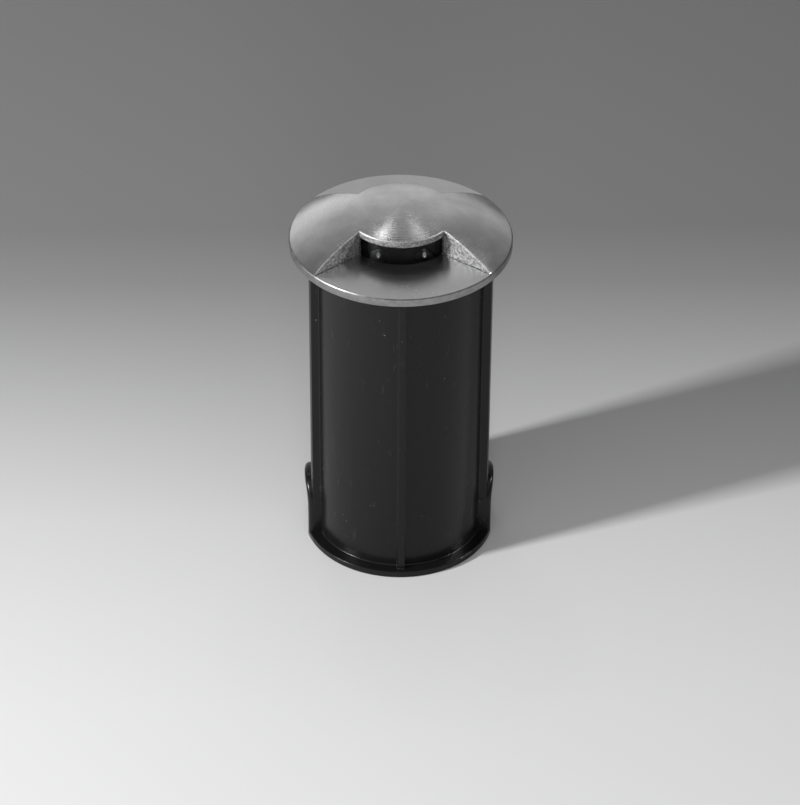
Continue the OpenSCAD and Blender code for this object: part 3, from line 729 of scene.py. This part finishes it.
class CoverForm:
    """One quarter of the cover, worked out patch by patch from its sizes, which it takes as its own."""

    BENDS = rolled(1.0, 3)
    FRONT = spaced(0.0, 1.0, 30)
    WING = spaced(0.0, 1.0, 22)
    CROWN_ROWS = 14
    WINDOW_ROWS = 6
    BROW_ROWS = 3
    FADE = 3
    RUNS = (0.3, 0.9, 1.9, 3.3, 4.9, 6.7, 8.7, 10.7, 12.7, 14.7, 16.3, 17.5, 18.4, 19.0)
    SHOULDER = ((0.06, 0.10), (0.0, -0.06))
    SIDE = 1.2
    FOOT = ((0.0, 0.25), (0.08, 0.08), (0.3, 0.0))
    UNDERSIDE = (33.0, 29.0, 25.0, 21.0)
    CEILING = (1.0, 0.6, 0.25, 0.0)

    def __init__(self, values):
        vars(self).update(vars(values))
        self.floor = self.bottom + self.rim
        rise = self.apex - self.floor
        self.crown_radius = (self.radius ** 2 + rise ** 2) / (2 * rise)
        self.window_top = self.floor + self.window
        self.cavity_top = self.window_top + self.headroom
        self.bevel_radius = self.radius - self.bevel
        self.bevel_top = self.crown(self.bevel_radius)
        self.slope = (self.bevel_top - self.floor + self.bevel) / self.bevel
        lip = self.bevel_radius + (self.bevel_top - self.floor) / self.slope
        self.inner = [self.cavity, (self.cavity + self.brow) / 2, self.brow]
        self.outer = [self.brow + run for run in self.RUNS] + [self.bevel_radius, lip]
        self.below = spaced(self.floor + self.fillet, self.window_top, self.WINDOW_ROWS)
        self.above = spaced(self.window_top, self.top(self.brow) - self.edge, self.BROW_ROWS)
        self.patch = Patchwork()

    def crown(self, radius):
        """Height of the crown's sphere at a radius."""
        return self.apex - self.crown_radius + math.sqrt(self.crown_radius ** 2 - radius ** 2)

    def top(self, radius):
        """Height of the wing at a radius, with the rim's bevel."""
        if radius <= self.bevel_radius:
            return self.crown(radius)
        return self.bevel_top - (radius - self.bevel_radius) * self.slope

    def fading(self, size, radius):
        """A wall's edge round or foot fillet, which fades out with the wall."""
        return min(size, max(self.top(max(radius, self.brow)) - self.floor, 0) / self.FADE)

    def turn(self, radius, offset):
        """The turn of a point at a radius and a distance from the wall's plane, towards the wing."""
        return self.spread + math.asin(max(-1.0, min(1.0, offset / radius)))

    def beside(self, radius, offset, height):
        """A point at a radius and a distance from the wall's plane."""
        return polar(radius, self.turn(radius, offset), height)

    def fan(self, limit):
        """Turns over a recess, from the front to a limit."""
        return [limit * share for share in self.FRONT]

    def wing(self, limit):
        """Turns over a wing, from a limit to the side."""
        return [limit + (math.pi / 2 - limit) * share for share in self.WING]

    def build(self):
        self.crown_and_brow()
        self.walls()
        self.floor_and_window()
        self.room(self.rim_and_underside())
        return self.patch.mirrored()

    def crown_and_brow(self):
        """The brow's edge, the crown's middle, the wings and the brow's face."""
        rows = []
        for down, aside in self.BENDS:
            radius = self.brow - self.edge * aside
            limit = self.turn(radius, self.edge * aside)
            rows.append(arc(radius, self.fan(limit), self.top(radius) - self.edge * down))
        self.patch.grid(rows, EDGE)
        limit = self.turn(self.brow - self.edge, self.edge)
        turns = self.fan(limit) + self.wing(limit)[1:]
        radii = spaced(0.0, self.brow - self.edge, self.CROWN_ROWS)
        self.patch.grid([arc(radius, turns, self.top(radius)) for radius in radii], CROWN)
        rows = []
        for radius in [self.brow - self.edge] + self.outer:
            limit = self.turn(radius, self.fading(self.edge, radius))
            rows.append(arc(radius, self.wing(limit), self.top(radius)))
        self.patch.grid(rows, CROWN)
        self.patch.grid([arc(self.brow, self.fan(self.spread), height) for height in self.above], WALL)

    def walls(self):
        """The recess's upright wall, with its rounded top edge and its foot fillet."""
        rows = []
        for down, aside in self.BENDS:
            row = []
            for radius in [self.brow - self.edge * aside] + self.outer:
                edge = self.fading(self.edge, radius)
                row.append(self.beside(radius, edge * aside, self.top(radius) - edge * down))
            rows.append(row)
        self.patch.grid(rows, EDGE)
        rows = []
        heights = self.below + self.above[1:]
        for height in heights:
            share = (height - heights[0]) / (heights[-1] - heights[0])
            row = []
            for radius in [self.brow] + self.outer:
                low = self.floor + self.fading(self.fillet, radius)
                high = self.top(radius) - self.fading(self.edge, radius)
                row.append(self.beside(radius, 0.0, low + (high - low) * share))
            rows.append(row)
        self.patch.grid(rows, WALL)
        # The foot fillet takes the corner steel: painted shade along the wall's foot.
        rows = []
        for out, left in self.BENDS:
            row = []
            for radius in self.inner + self.outer:
                foot = self.fading(self.fillet, radius)
                row.append(self.beside(radius, -foot * out, self.floor + foot * left))
            rows.append(row)
        self.patch.grid(rows, SHADED_CORNER)

    def floor_and_window(self):
        """The recess floor, the window's sides and the brow's underside."""
        rows = []
        for radius in self.inner + self.outer:
            limit = self.turn(radius, -self.fading(self.fillet, radius))
            rows.append(arc(radius, self.fan(limit), self.floor))
        self.patch.grid(rows, FLOOR)
        # The window's sides take the corner steel: painted shade in the recess.
        self.patch.grid([[polar(radius, self.spread, height) for radius in self.inner]
                         for height in self.below], SHADED_CORNER)
        turns = self.fan(self.spread)
        self.patch.grid([arc(radius, turns, self.window_top) for radius in self.inner], INSIDE)

    def rim_and_underside(self):
        """The upright rim and the underside, whose innermost row it returns."""
        turns = self.fan(self.spread) + self.wing(self.spread)[1:]
        shoulder = self.floor - self.bevel
        rim = [(self.outer[-1], self.floor)]
        rim += [(self.radius - inset, shoulder + rise) for inset, rise in self.SHOULDER]
        rim += [(self.radius, self.floor - self.SIDE)]
        rim += [(self.radius - inset, self.bottom + rise) for inset, rise in self.FOOT]
        self.patch.grid([arc(radius, turns, height) for radius, height in rim], RIM)
        under = [rim[-1][0], *self.UNDERSIDE]
        self.patch.grid([arc(radius, turns, self.bottom) for radius in under], INSIDE)
        return arc(under[-1], turns, self.bottom)

    def room(self, underside):
        """The room behind the windows, joined to the underside's innermost row."""
        columns = [(turn, self.floor) for turn in self.fan(self.turn(self.cavity, -self.fillet))]
        columns += [(self.turn(self.cavity, -self.fillet * out), self.floor + self.fillet * left)
                    for out, left in reversed(self.BENDS[:-1])]
        corner = len(columns) - 1
        columns += [(turn, self.floor + self.fillet) for turn in self.wing(self.spread)[1:]]
        turns = [turn for turn, height in columns]
        foot = arc(self.cavity, turns, self.bottom)
        self.patch.zip(underside, foot, INSIDE)
        self.patch.grid([foot, [polar(self.cavity, turn, height) for turn, height in columns]], INSIDE)
        behind = turns[corner:]
        self.patch.grid([arc(self.cavity, behind, height) for height in self.below], INSIDE)
        above = self.fan(self.spread) + behind[1:]
        heights = (self.window_top, self.cavity_top)
        self.patch.grid([arc(self.cavity, above, height) for height in heights], INSIDE)
        radii = [self.cavity * share for share in self.CEILING]
        self.patch.grid([arc(radius, above, self.cavity_top) for radius in radii], INSIDE)


class MARKER_OT_cover(bpy.types.Operator):
    """Build the turned and cast steel cover"""
    bl_idname = "marker_light.cover"
    bl_label = "Cover"

    def execute(self, context):
        piece = CoverForm(sizes("cover")).build().piece("walk_over_cover", cover_finishes())
        place(piece, "lamp", ["top_cover"])
        return {"FINISHED"}


# The ground sleeve

# Lengths in millimetres; the two starts are counted outward from the bore.
CONVEX = 0.4
HOLLOW = 0.55
ARC_STEP = math.radians(2.0)
TUBE_FOOT = 0.8
TUBE_LEVELS = (8, 14, 20, 26, 40, 60, 80, 100, 112)
TUBE_ROUND = 0.3
FLANGE_ROUND = 0.35
HOOD_BACK = 0.04
HOOD_START = 1.2
HOOD_FOOT = 1.0
HOOD_ROUND = 1.1
MOUTH_START = -4.0
MOUTH_FOOT = -2.0
MOUTH_ROUND = 0.6
PAST = 3.0


def soft_corner(before, corner, after, size):
    """A smooth bend through a corner of an outline, from one side to the other."""
    here = Vector(corner)
    start = here + (Vector(before) - here).normalized() * size
    end = here + (Vector(after) - here).normalized() * size
    points = []
    for share in spaced(0, 1, 4):
        point = start * (1 - share) ** 2 + here * (2 * share * (1 - share)) + end * share ** 2
        points.append((point.x, point.y))
    return points


def bent(path, bends):
    """A path with a bend of its own size at each of its inner corners."""
    corners = zip(path, path[1:], path[2:], bends)
    return [point for before, corner, after, size in corners
            for point in soft_corner(before, corner, after, size)]


def on_circle(radius, turn):
    """A point of a circle round the axis, by its angle from the right."""
    return (radius * math.cos(turn), radius * math.sin(turn))


def arc_points(radius, start, end):
    """Points along a circle between two angles, which are left out."""
    count = max(2, int(abs(end - start) / ARC_STEP))
    return [on_circle(radius, turn) for turn in spaced(start, end, count)[1:-1]]


def ribbed_outline(values):
    """The sleeve's outline over its ribs, as one closed loop from the front round to the right."""
    tube = values.tube
    rib = values.rib
    reach = values.side_rib
    outer = values.side_span / 2
    inner = outer - rib
    front = (0.0, -values.centre_rib)
    nib = (rib / 2, front[1])
    root = (rib / 2, -math.sqrt(tube ** 2 - rib ** 2 / 4))
    side = [(math.sqrt(radius ** 2 - y ** 2), -y)
            for radius, y in ((tube, outer), (reach, outer), (reach, inner), (tube, inner))]
    bend = HOLLOW / tube
    first = math.atan2(root[1], root[0]) + bend
    second = math.atan2(side[0][1], side[0][0]) - bend
    third = math.atan2(side[3][1], side[3][0]) + bend
    points = [front] + bent([front, nib, root, on_circle(tube, first)], (CONVEX, HOLLOW))
    points += arc_points(tube, first, second)
    points += bent([on_circle(tube, second), *side, on_circle(tube, third)],
                       (HOLLOW, CONVEX, CONVEX, HOLLOW))
    points += arc_points(tube, third, 0.0) + [(tube, 0.0)]
    half = points + [(x, -y) for x, y in reversed(points[:-1])]
    return half + [(-x, y) for x, y in reversed(half[1:-1])]


def grown(points, by):
    """An outline moved outward along the radius."""
    shares = [1 + by / math.hypot(x, y) for x, y in points]
    return [(x * share, y * share) for (x, y), share in zip(points, shares)]


def ribbed_solid(values):
    """The tube with its ribs, solid right through, flared a little over the flange."""
    outline = ribbed_outline(values)
    fillet = values.fillet
    levels = [(TUBE_FOOT, fillet)]
    levels += [(values.flange_height + up, out) for up, out in rolled(fillet, 5)]
    levels += [(height, 0.0) for height in TUBE_LEVELS]
    levels += [(values.height - down, -inset) for inset, down in rolled(TUBE_ROUND, 3)]
    patch = Patchwork()
    patch.stack([[(x, y, height) for x, y in grown(outline, by)] for height, by in levels])
    return patch


def flange_solid(values):
    """The foot flange as a flat ring with rounded edges."""
    reach = values.flange
    thick = values.flange_height
    inside = values.bore - 2
    profile = [(inside, 0.0, 0), (reach, 0.0, FLANGE_ROUND), (reach, thick, FLANGE_ROUND),
               (inside, thick, 0)]
    return revolved(rounded(profile, 4), TUBE_SEGMENTS)


def bore_solid(values):
    """What is cut out of the sleeve: its bore and the bevel of its mouth."""
    bore = values.bore
    height = values.height
    mouth = values.mouth
    over = 2.0
    profile = [(0.0, -PAST), (bore, -PAST), (bore, height - mouth), (bore + mouth + over, height + over)]
    return revolved(profile + [(0.0, height + over)], TUBE_SEGMENTS, closed=False)


def arch_rows(width, height, corner, low):
    """Rows of places over an arch's face, from its foot up to its flat top."""
    levels = [(width / 2, z) for z in spaced(low, height - corner, 5)]
    levels += [(width / 2 - inset, height - drop) for inset, drop in rolled(corner, 10)[1:]]
    return [[(reach * share, z) for share in spaced(-1, 1, 12)] for reach, z in levels]


def hood_form(values, side, low, levels):
    """A closed prism of arches from a height up, each with its inset and its radius."""
    faces = []
    for inset, radius in levels:
        rows = arch_rows(values.hood_width - 2 * inset, values.hood_height - inset,
                         values.hood_corner - inset, low)
        faces.append([[(side * math.sqrt(radius ** 2 - y ** 2), y, z) for y, z in row] for row in rows])
    patch = Patchwork()
    patch.grid(faces[0])
    patch.grid(faces[-1])
    patch.grid([[row[0] for row in face] + face[-1][1:-1] + [row[-1] for row in reversed(face)]
                + face[0][-2:0:-1] for face in faces], closed=True)
    return patch


def hood_solid(values, side):
    """The outside of a cable hood, with a rounded outer edge."""
    reach = values.flange - HOOD_BACK
    levels = [(0.0, values.bore + HOOD_START)]
    levels += [(inset, reach - left) for inset, left in rolled(HOOD_ROUND, 5)]
    return hood_form(values, side, HOOD_FOOT, levels)


def hood_mouth(values, side):
    """The cable entry, open at the foot, with a rounded mouth: cut through a hood, tube and flange."""
    reach = values.flange - HOOD_BACK
    wall = values.hood_wall
    levels = [(wall, values.bore + MOUTH_START)]
    levels += [(wall - wider, reach - left) for wider, left in rolled(MOUTH_ROUND, 4)]
    levels += [(wall - 1.5 * MOUTH_ROUND, reach + PAST)]
    return hood_form(values, side, MOUTH_FOOT, levels)


class MARKER_OT_sleeve(bpy.types.Operator):
    """Build the ribbed ground sleeve with its foot flange and cable hoods"""
    bl_idname = "marker_light.sleeve"
    bl_label = "Ground sleeve"

    def execute(self, context):
        values = sizes("sleeve")
        hoods = [("UNION", hood_solid(values, side)) for side in (-1, 1)]
        mouths = [("DIFFERENCE", hood_mouth(values, side)) for side in (-1, 1)]
        sleeve = carved("ribbed_sleeve", sleeve_plastic(), ribbed_solid(values),
                        ("UNION", flange_solid(values)), *hoods,
                        ("DIFFERENCE", bore_solid(values)), *mouths)
        place(sleeve, "sleeve", ["ground_sleeve"])
        return {"FINISHED"}


# Lens cup and light sources

class MARKER_OT_lenses(bpy.types.Operator):
    """Build the clear cup and the domes of the light sources"""
    bl_idname = "marker_light.lenses"
    bl_label = "Lens cup and domes"

    def execute(self, context):
        values = sizes("lamp")
        bottom, top, flange = spanned(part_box("lens_cup"))
        outer = values.cup
        wall = values.cup_wall
        inner = outer - wall
        ceiling = top - wall
        flange_top = bottom + 2
        profile = [(0.0, top, 0), (outer, top, 0.35), (outer, flange_top, 0), (flange, flange_top, 0.3),
                   (flange, bottom, 0.3), (inner, bottom, 0.15), (inner, ceiling, 0.5), (0.0, ceiling, 0)]
        cup = revolved(rounded(profile, 4), LATHE_SEGMENTS, closed=False)
        clear = clear_plastic("clear_cup_plastic", (0.97, 0.97, 0.97), 0.02, 1.14)
        place(cup.piece("clear_cup", [clear]), "lamp", ["lens_cup"])
        clear = clear_plastic("dome_plastic", (0.95, 0.95, 0.95), 0.01, 1.49)
        for name, facing in (("front", 0.0), ("rear", math.pi)):
            patch = Patchwork()
            for side in (-1, 1):
                self.dome(patch, values, side, facing)
            place(patch.piece(f"{name}_domes", [clear]), "lamp", [f"{name}_dome_lenses"])
        return {"FINISHED"}

    def dome(self, patch, values, side, facing):
        """One dome with its skirt, hollowed a little over the chip."""
        radius = values.dome
        skirt = values.dome_skirt
        hollow = 2.5
        hollow_rim = 0.75
        hollow_rise = 0.25
        soft = 0.12
        seat = Matrix.Rotation(facing, 4, "Z")
        seat = seat @ Matrix.Translation((side * values.dome_spacing / 2, -values.dome_seat,
                                          values.dome_height))
        seat = seat @ Matrix.Rotation(math.radians(90), 4, "X")
        profile = [(hollow, 0.0), (radius - soft, 0.0), (radius, soft), (radius, skirt)]
        profile += [(radius * math.cos(bend), skirt + radius * math.sin(bend)) for bend in quarter(14)[1:]]
        profile += [(hollow * math.sin(bend), hollow_rim + hollow_rise * math.cos(bend))
                    for bend in quarter(5)]
        revolved(profile + [(hollow, 0.0)], DOME_SEGMENTS, closed=False, patch=patch, turn=seat)


# Housing and end cap

BEAD = 1.2
BAND_GAP = 0.3
EAR_EDGE = ((0.4, 0.0), (0.12, 0.12), (0.0, 0.4))
EAR_STEPS = 16


def screw_ears(values, low, high):
    """Screw ears round the housing's foot, each a rounded lug with soft edges."""
    radius = values.ear
    inner = values.housing - 1.0
    circle = values.ear_circle
    levels = [(inset, low + edge) for inset, edge in EAR_EDGE]
    levels += [(inset, high - edge) for inset, edge in reversed(EAR_EDGE)]
    patch = Patchwork()
    for i in range(values.ears):
        turn = Matrix.Rotation(math.pi / 2 + 2 * math.pi * i / values.ears, 4, "Z")
        rows = []
        for inset, height in levels:
            reach = radius - inset
            points = [(inner, -reach)]
            points += [(circle + reach * math.sin(bend), -reach * math.cos(bend))
                       for bend in spaced(0, math.pi, EAR_STEPS)]
            points += [(inner, reach)]
            rows.append([turn @ Vector((x, y, height)) for x, y in points])
        patch.stack(rows)
    return patch


class MARKER_OT_housing(bpy.types.Operator):
    """Build the powder-coated lamp housing and its end cap"""
    bl_idname = "marker_light.housing"
    bl_label = "Housing and end cap"

    def execute(self, context):
        values = sizes("lamp")
        coat = powder_coat()
        bottom = values.bottom
        cap = bottom - values.cap
        shell = carved("lamp_shell", coat, self.shell(values, bottom),
                       ("UNION", screw_ears(values, bottom, bottom + values.ear_height)))
        place(shell, "lamp", ["lamp_housing"])
        lid = carved("end_lid", coat, self.lid(values, bottom, cap),
                     ("UNION", screw_ears(values, cap, bottom)))
        place(lid, "lamp", ["end_cap"])
        return {"FINISHED"}

    def shell(self, values, bottom):
        """The housing's tube with two beads, its top flange, lens seat and ledge."""
        top = node_size("lamp_housing", 2, 1)
        outer = values.housing
        bore = values.housing_bore
        flange = values.flange
        under = top - values.flange_height
        lower, upper, bead = spanned(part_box("clip_band"))
        lower -= BAND_GAP
        upper += BAND_GAP
        seat = 20.7
        seat_floor = top - 3
        ledge = bore - 2
        ledge_top = top - 11.3
        ledge_foot = top - 13.3
        outside = [(outer, bottom, 0.2), (outer, lower - BEAD, 0.25), (bead, lower - BEAD, 0.3),
                   (bead, lower, 0.3), (outer, lower, 0.1), (outer, upper, 0.1), (bead, upper, 0.3),
                   (bead, upper + BEAD, 0.3), (outer, upper + BEAD, 0.25), (outer, under, 0.8),
                   (flange, under, 0.5), (flange, top, 0.4)]
        inside = [(seat, top), (seat, seat_floor), (bore, seat_floor), (bore, ledge_top), (ledge, ledge_top),
                  (ledge, ledge_foot), (bore, ledge_foot), (bore, bottom)]
        return revolved(rounded(outside + [(*corner, 0.2) for corner in inside]), LATHE_SEGMENTS)

    def lid(self, values, bottom, cap):
        """The end cap with its spigot in the bore and its hole for the gland."""
        outer = values.housing
        spigot = values.housing_bore - 0.2
        spigot_top = bottom + 5
        hole = 8.05
        profile = [(hole, cap, 0.3), (outer, cap, 0.6), (outer, bottom, 0.2), (spigot, bottom, 0.1),
                   (spigot, spigot_top, 0.4), (hole, spigot_top, 0.3)]
        return revolved(rounded(profile), LATHE_SEGMENTS)


# The cable gland

HEXAGON_ROUND = 0.5


def hexagon_ring(flats, inset=0.0):
    """Eight points for each corner of a hexagon: a slight rounding and the flat after it."""
    radius = (flats / 2 - inset) / math.cos(math.pi / 6)
    corners = [Vector(on_circle(radius, math.radians(60 * i))) for i in range(6)]
    points = []
    for i, corner in enumerate(corners):
        after = corners[(i + 1) % 6]
        points += soft_corner(corners[i - 1], corner, after, HEXAGON_ROUND)
        points += [tuple(corner.lerp(after, share)) for share in (0.25, 0.5, 0.75)]
    return points


def hexagon_form(flats, lower, hexagon, upper):
    """A closed ring of rows: round ones by radius, hexagons by inset, then round ones again."""
    turns = [math.atan2(y, x) for x, y in hexagon_ring(flats)]
    rows, above = [[[(*on_circle(radius, turn), height) for turn in turns] for radius, height in steps]
                   for steps in (lower, upper)]
    rows += [[(x, y, height) for x, y in hexagon_ring(flats, inset)] for inset, height in hexagon] + above
    patch = Patchwork()
    patch.grid(rows + rows[:1], closed=True)
    return patch


class MARKER_OT_gland(bpy.types.Operator):
    """Build the cable gland: body, clamping nut and rubber seal"""
    bl_idname = "marker_light.gland"
    bl_label = "Cable gland"

    def execute(self, context):
        values = sizes("gland")
        nylon = moulded_black("gland_nylon", "nylon", 0.38, 1600)
        rubber = moulded_black("cable_rubber", "rubber", 0.6, 2400)
        nut = self.nut(values).piece("clamping_nut", [nylon], HEXAGON_CREASE)
        place(nut, "lamp", ["gland_nut"])
        body = self.body(values).piece("gland_stem", [nylon], HEXAGON_CREASE)
        place(body, "lamp", ["gland_body"])
        seal = self.seal(values).piece("cable_seal", [rubber])
        place(seal, "lamp", ["gland_seal"])
        return {"FINISHED"}

    def nut(self, values):
        """The clamping nut: domed round its cable hole, hexagonal above."""
        low, high, _ = spanned(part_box("gland_nut"))
        mouth = values.mouth
        bore = values.nut_bore
        end = low + values.nut_end
        face = 6.9
        shoulder = 9.3
        lower = [(mouth, end), (mouth, low + 0.5), (mouth + 0.3, low + 0.12), (mouth + 0.6, low),
                 (face, low), (face + 0.4, low + 0.15), (shoulder, low + 2.1)]
        hexagon = [(0.0, low + 2.6), (0.0, high - 0.5), (0.12, high - 0.15), (0.4, high)]
        upper = [(bore + 0.3, high), (bore, high - 0.3), (bore, end)]
        return hexagon_form(values.flats, lower, hexagon, upper)

    def body(self, values):
        """The gland's body: a collar in the nut, a hexagon, and a thread in the end cap."""
        low, high, _ = spanned(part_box("gland_body"))
        bore = values.bore
        seat = values.seat
        seat_top = values.seat_top
        collar = values.collar
        foot = values.hexagon_foot
        top = values.hexagon_top
        thread = values.thread
        soft = 0.3
        lower = [(bore, high), (bore, seat_top), (seat, seat_top), (seat, low), (collar - 0.2, low),
                 (collar, low + 0.2), (collar, foot)]
        hexagon = [(soft, foot), (0.0, foot + soft), (0.0, top - soft), (soft, top)]
        upper = [(thread, top), (thread, high - soft), (thread - soft, high)]
        return hexagon_form(values.flats, lower, hexagon, upper)

    def seal(self, values):
        """The rubber seal that grips the cable."""
        low, high, outer = spanned(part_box("gland_seal"))
        inner = values.cable
        profile = [(inner, low, 0.5), (outer, low, 0.3), (outer, high, 0.3), (inner, high, 0.3)]
        return revolved(rounded(profile), SEAL_SEGMENTS)


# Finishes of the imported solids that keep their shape

def soften(node, width):
    """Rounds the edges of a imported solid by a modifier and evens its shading."""
    bevel = node.modifiers.new("soft_edges", "BEVEL")
    bevel.width = width * MM
    bevel.segments = 2
    bevel.limit_method = "ANGLE"
    bevel.angle_limit = math.radians(40)
    bevel.use_clamp_overlap = True
    bevel.harden_normals = False
    evened(node)


class MARKER_OT_finishes(bpy.types.Operator):
    """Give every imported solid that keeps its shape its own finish"""
    bl_idname = "marker_light.finishes"
    bl_label = "Finishes of inner parts"

    def execute(self, context):
        steel = bright_steel("screw_steel", (0.62, 0.62, 0.63), 0.28)
        spring = bright_steel("spring_steel", (0.5, 0.51, 0.53), 0.24)
        rubber = moulded_black("gasket_rubber", "rubber", 0.62, 2600)
        green = painted("board_green", (0.02, 0.14, 0.06), 0.35)
        mask = painted("board_black", (0.008, 0.008, 0.009), 0.35)
        black = painted("chip_black", (0.012, 0.012, 0.013), 0.42)
        core = painted("core_black", (0.010, 0.010, 0.011), 0.5, 1400)
        red = painted("wire_red", (0.42, 0.03, 0.02), 0.4)
        sleeving = painted("capacitor_sleeve", (0.03, 0.05, 0.14), 0.3)
        blue = painted("terminal_blue", (0.04, 0.16, 0.3), 0.38)
        chip = light_chip()
        rules = (
            (rubber, 0.15, "seat_gasket", "lens_gasket", "gland_gasket"), (rubber, 0, "end_cap_seal"),
            (steel, 0.12, "cover_screws", "end_cap_screws", "clip_rivets"), (steel, 0.1, "carrier_screws"),
            (steel, 0.08, "board_screws"), (spring, 0.08, "clip_band"), (spring, 0.06, "spring_clips"),
            (core, 0.15, "led_carrier"), (gloss_black(), 0.18, "led_shroud"),
            (mask, 0.05, "front_led_board", "rear_led_board"), (chip, 0.08, "front_leds", "rear_leds"),
            (red, 0, "lead_wires"), (green, 0.05, "driver_board"), (wound_copper(), 0.1, "driver_coil"),
            (sleeving, 0.25, "driver_capacitors"), (black, 0.12, "driver_chips"),
            (blue, 0.25, "terminal_block"),
        )
        for material, width, *names in rules:
            for name in names:
                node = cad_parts[name]
                node.data.materials.clear()
                node.data.materials.append(material)
                node.data.polygons.foreach_set("material_index", [0] * len(node.data.polygons))
                if width:
                    soften(node, width)
        return {"FINISHED"}


# The stage

# Each soft lamp's name, place, aim, size, power, and the kind of ray that doesn't see it.
LAMPS = (
    ("key_box", (-1.33, -0.53, 0.76), (0, 0, 0.03), (0.12, 0.12), 37.0, "transmission"),
    ("top_box", (0.0, -0.50, 0.85), (0, -0.25, 0), (1.1, 0.9), 2.1, None),
    ("front_box", (0.0, -1.20, 0.36), (0, 0, 0.12), (0.24, 0.45), 6.0, "glossy"),
    ("right_box", (0.91, -0.036, 0.78), (0, 0, 0.12), (0.10, 0.10), 6.0, "diffuse"),
    ("rear_left_box", (-0.15, 0.53, 1.07), (0, 0, 0.12), (0.08, 0.08), 0.28, None),
    ("rear_right_box", (0.18, 0.54, 1.06), (0, 0, 0.12), (0.08, 0.08), 0.13, None),
)
# The floor's grading from pale to grey is painted shade, standing in for the light falling off towards the
# back.
FLOOR_SHADE_STOPS = ((0.0, 0.95), (0.25, 0.93), (0.375, 0.87), (0.5, 0.78), (0.625, 0.58), (0.75, 0.34),
               (0.875, 0.10), (0.97, 0.0))
FLOOR_REACH = 9000
SKY_STOPS = ((0.0, 0.14), (0.2, 0.10), (0.43, 0.18), (0.6, 0.22), (0.75, 0.38), (0.8, 0.43), (0.9, 0.50),
             (0.98, 0.66))


def lamp(name, place_at, aim, size, power, unseen):
    """A soft studio lamp that faces a point."""
    data = bpy.data.lights.new(name, "AREA")
    data.shape = "RECTANGLE"
    data.size, data.size_y = size
    data.energy = power
    light = bpy.data.objects.new(name, data)
    light.location = place_at
    light.rotation_mode = "QUATERNION"
    light.rotation_quaternion = (Vector(aim) - Vector(place_at)).to_track_quat("-Z", "Y")
    light.visible_camera = False
    if unseen:
        setattr(light, f"visible_{unseen}", False)
    bpy.context.scene.collection.objects.link(light)


class MARKER_OT_stage(bpy.types.Operator):
    """Set up the camera, the pale floor, the soft lamps and the background"""
    bl_idname = "marker_light.stage"
    bl_label = "Stage"

    def execute(self, context):
        self.camera()
        self.floor()
        self.world()
        for settings in LAMPS:
            lamp(*settings)
        context.scene.view_settings.view_transform = "Standard"
        return {"FINISHED"}

    def camera(self):
        """The photograph's viewing angle."""
        data = bpy.data.cameras.new("view")
        data.sensor_fit = "VERTICAL"
        data.sensor_height = 36.0
        data.sensor_width = 36.0
        data.lens = 154.0
        eye = bpy.data.objects.new("view", data)
        around = math.radians(-1.65)
        above = math.radians(36.66)
        roll = math.radians(0.40)
        away = 1.2026
        turn = Matrix.Rotation(around, 3, "Z") @ Matrix.Rotation(math.pi / 2 - above, 3, "X")
        eye.location = Vector((0, 0, 0.06113)) + turn @ Vector((0.000133, -0.0075, away))
        eye.rotation_mode = "QUATERNION"
        eye.rotation_quaternion = (turn @ Matrix.Rotation(roll, 3, "Z")).to_quaternion()
        bpy.context.scene.collection.objects.link(eye)
        bpy.context.scene.camera = eye

    def floor(self):
        """A sheet under the light, pale in front and graded to grey behind: the grading is painted shade, in
        place of the light falling off towards the back.
        """
        finish = Finish("studio_floor")
        depth = finish.axes()[1]
        pale = finish.ramp((depth + 0.2) / 0.4, *FLOOR_SHADE_STOPS) + finish.noise(3) * 0.02
        shade = finish.mixed(pale, tone("floor_back"), tone("floor"))
        material = finish.surface(shade, 0.85, None, {"Specular IOR Level": 0.0})
        lines = spaced(-FLOOR_REACH, FLOOR_REACH, 6)
        patch = Patchwork()
        patch.grid([[(x, y, 0.0) for x in lines] for y in lines])
        sheet = patch.piece("studio_sheet", [material])
        sheet.location.z = -0.02 * MM

    def world(self):
        """A soft surrounding: brightest low down behind the light, dimmer at the sides and overhead."""
        surround = Finish("studio", bpy.data.worlds)
        ways = surround.value("ShaderNodeTexCoord", output="Generated")
        sky = surround.ramp(surround.facing(ways, (-0.12, 1.0, 0.12)), *SKY_STOPS)
        side = surround.ramp(surround.facing(ways, (-0.40, 0.91, 0.06)), (0.93, 0.0), (0.99, 0.42))
        shade = surround.value("ShaderNodeBackground", {}, {"Color": sky + side, "Strength": 1.15})
        surround.node("ShaderNodeOutputWorld", {}, {"Surface": shade})
        bpy.context.scene.world = surround.material


class MARKER_PT_panel(bpy.types.Panel):
    """Lists the pieces of the marker light"""
    bl_idname = "MARKER_PT_panel"
    bl_label = "Marker light"
    bl_space_type = "VIEW_3D"
    bl_region_type = "UI"
    bl_category = "Marker light"

    def draw(self, context):
        for operator in PIECES:
            self.layout.operator(operator.bl_idname)


PIECES = (MARKER_OT_stage, MARKER_OT_cover, MARKER_OT_sleeve, MARKER_OT_lenses, MARKER_OT_housing,
          MARKER_OT_gland, MARKER_OT_finishes)
CLASSES = (CoverSizes, SleeveSizes, LampSizes, GlandSizes, FinishColours, MarkerLight, *PIECES,
           MARKER_PT_panel)


def register():
    for item in CLASSES:
        bpy.utils.register_class(item)
    bpy.types.Scene.marker_light = PointerProperty(type=MarkerLight)


def unregister():
    del bpy.types.Scene.marker_light
    for item in reversed(CLASSES):
        bpy.utils.unregister_class(item)


def main():
    """Builds everything in order."""
    register()
    steps = bpy.ops.marker_light
    steps.stage()
    steps.cover()
    steps.sleeve()
    steps.lenses()
    steps.housing()
    steps.gland()
    steps.finishes()


if __name__ == "__main__":
    main()
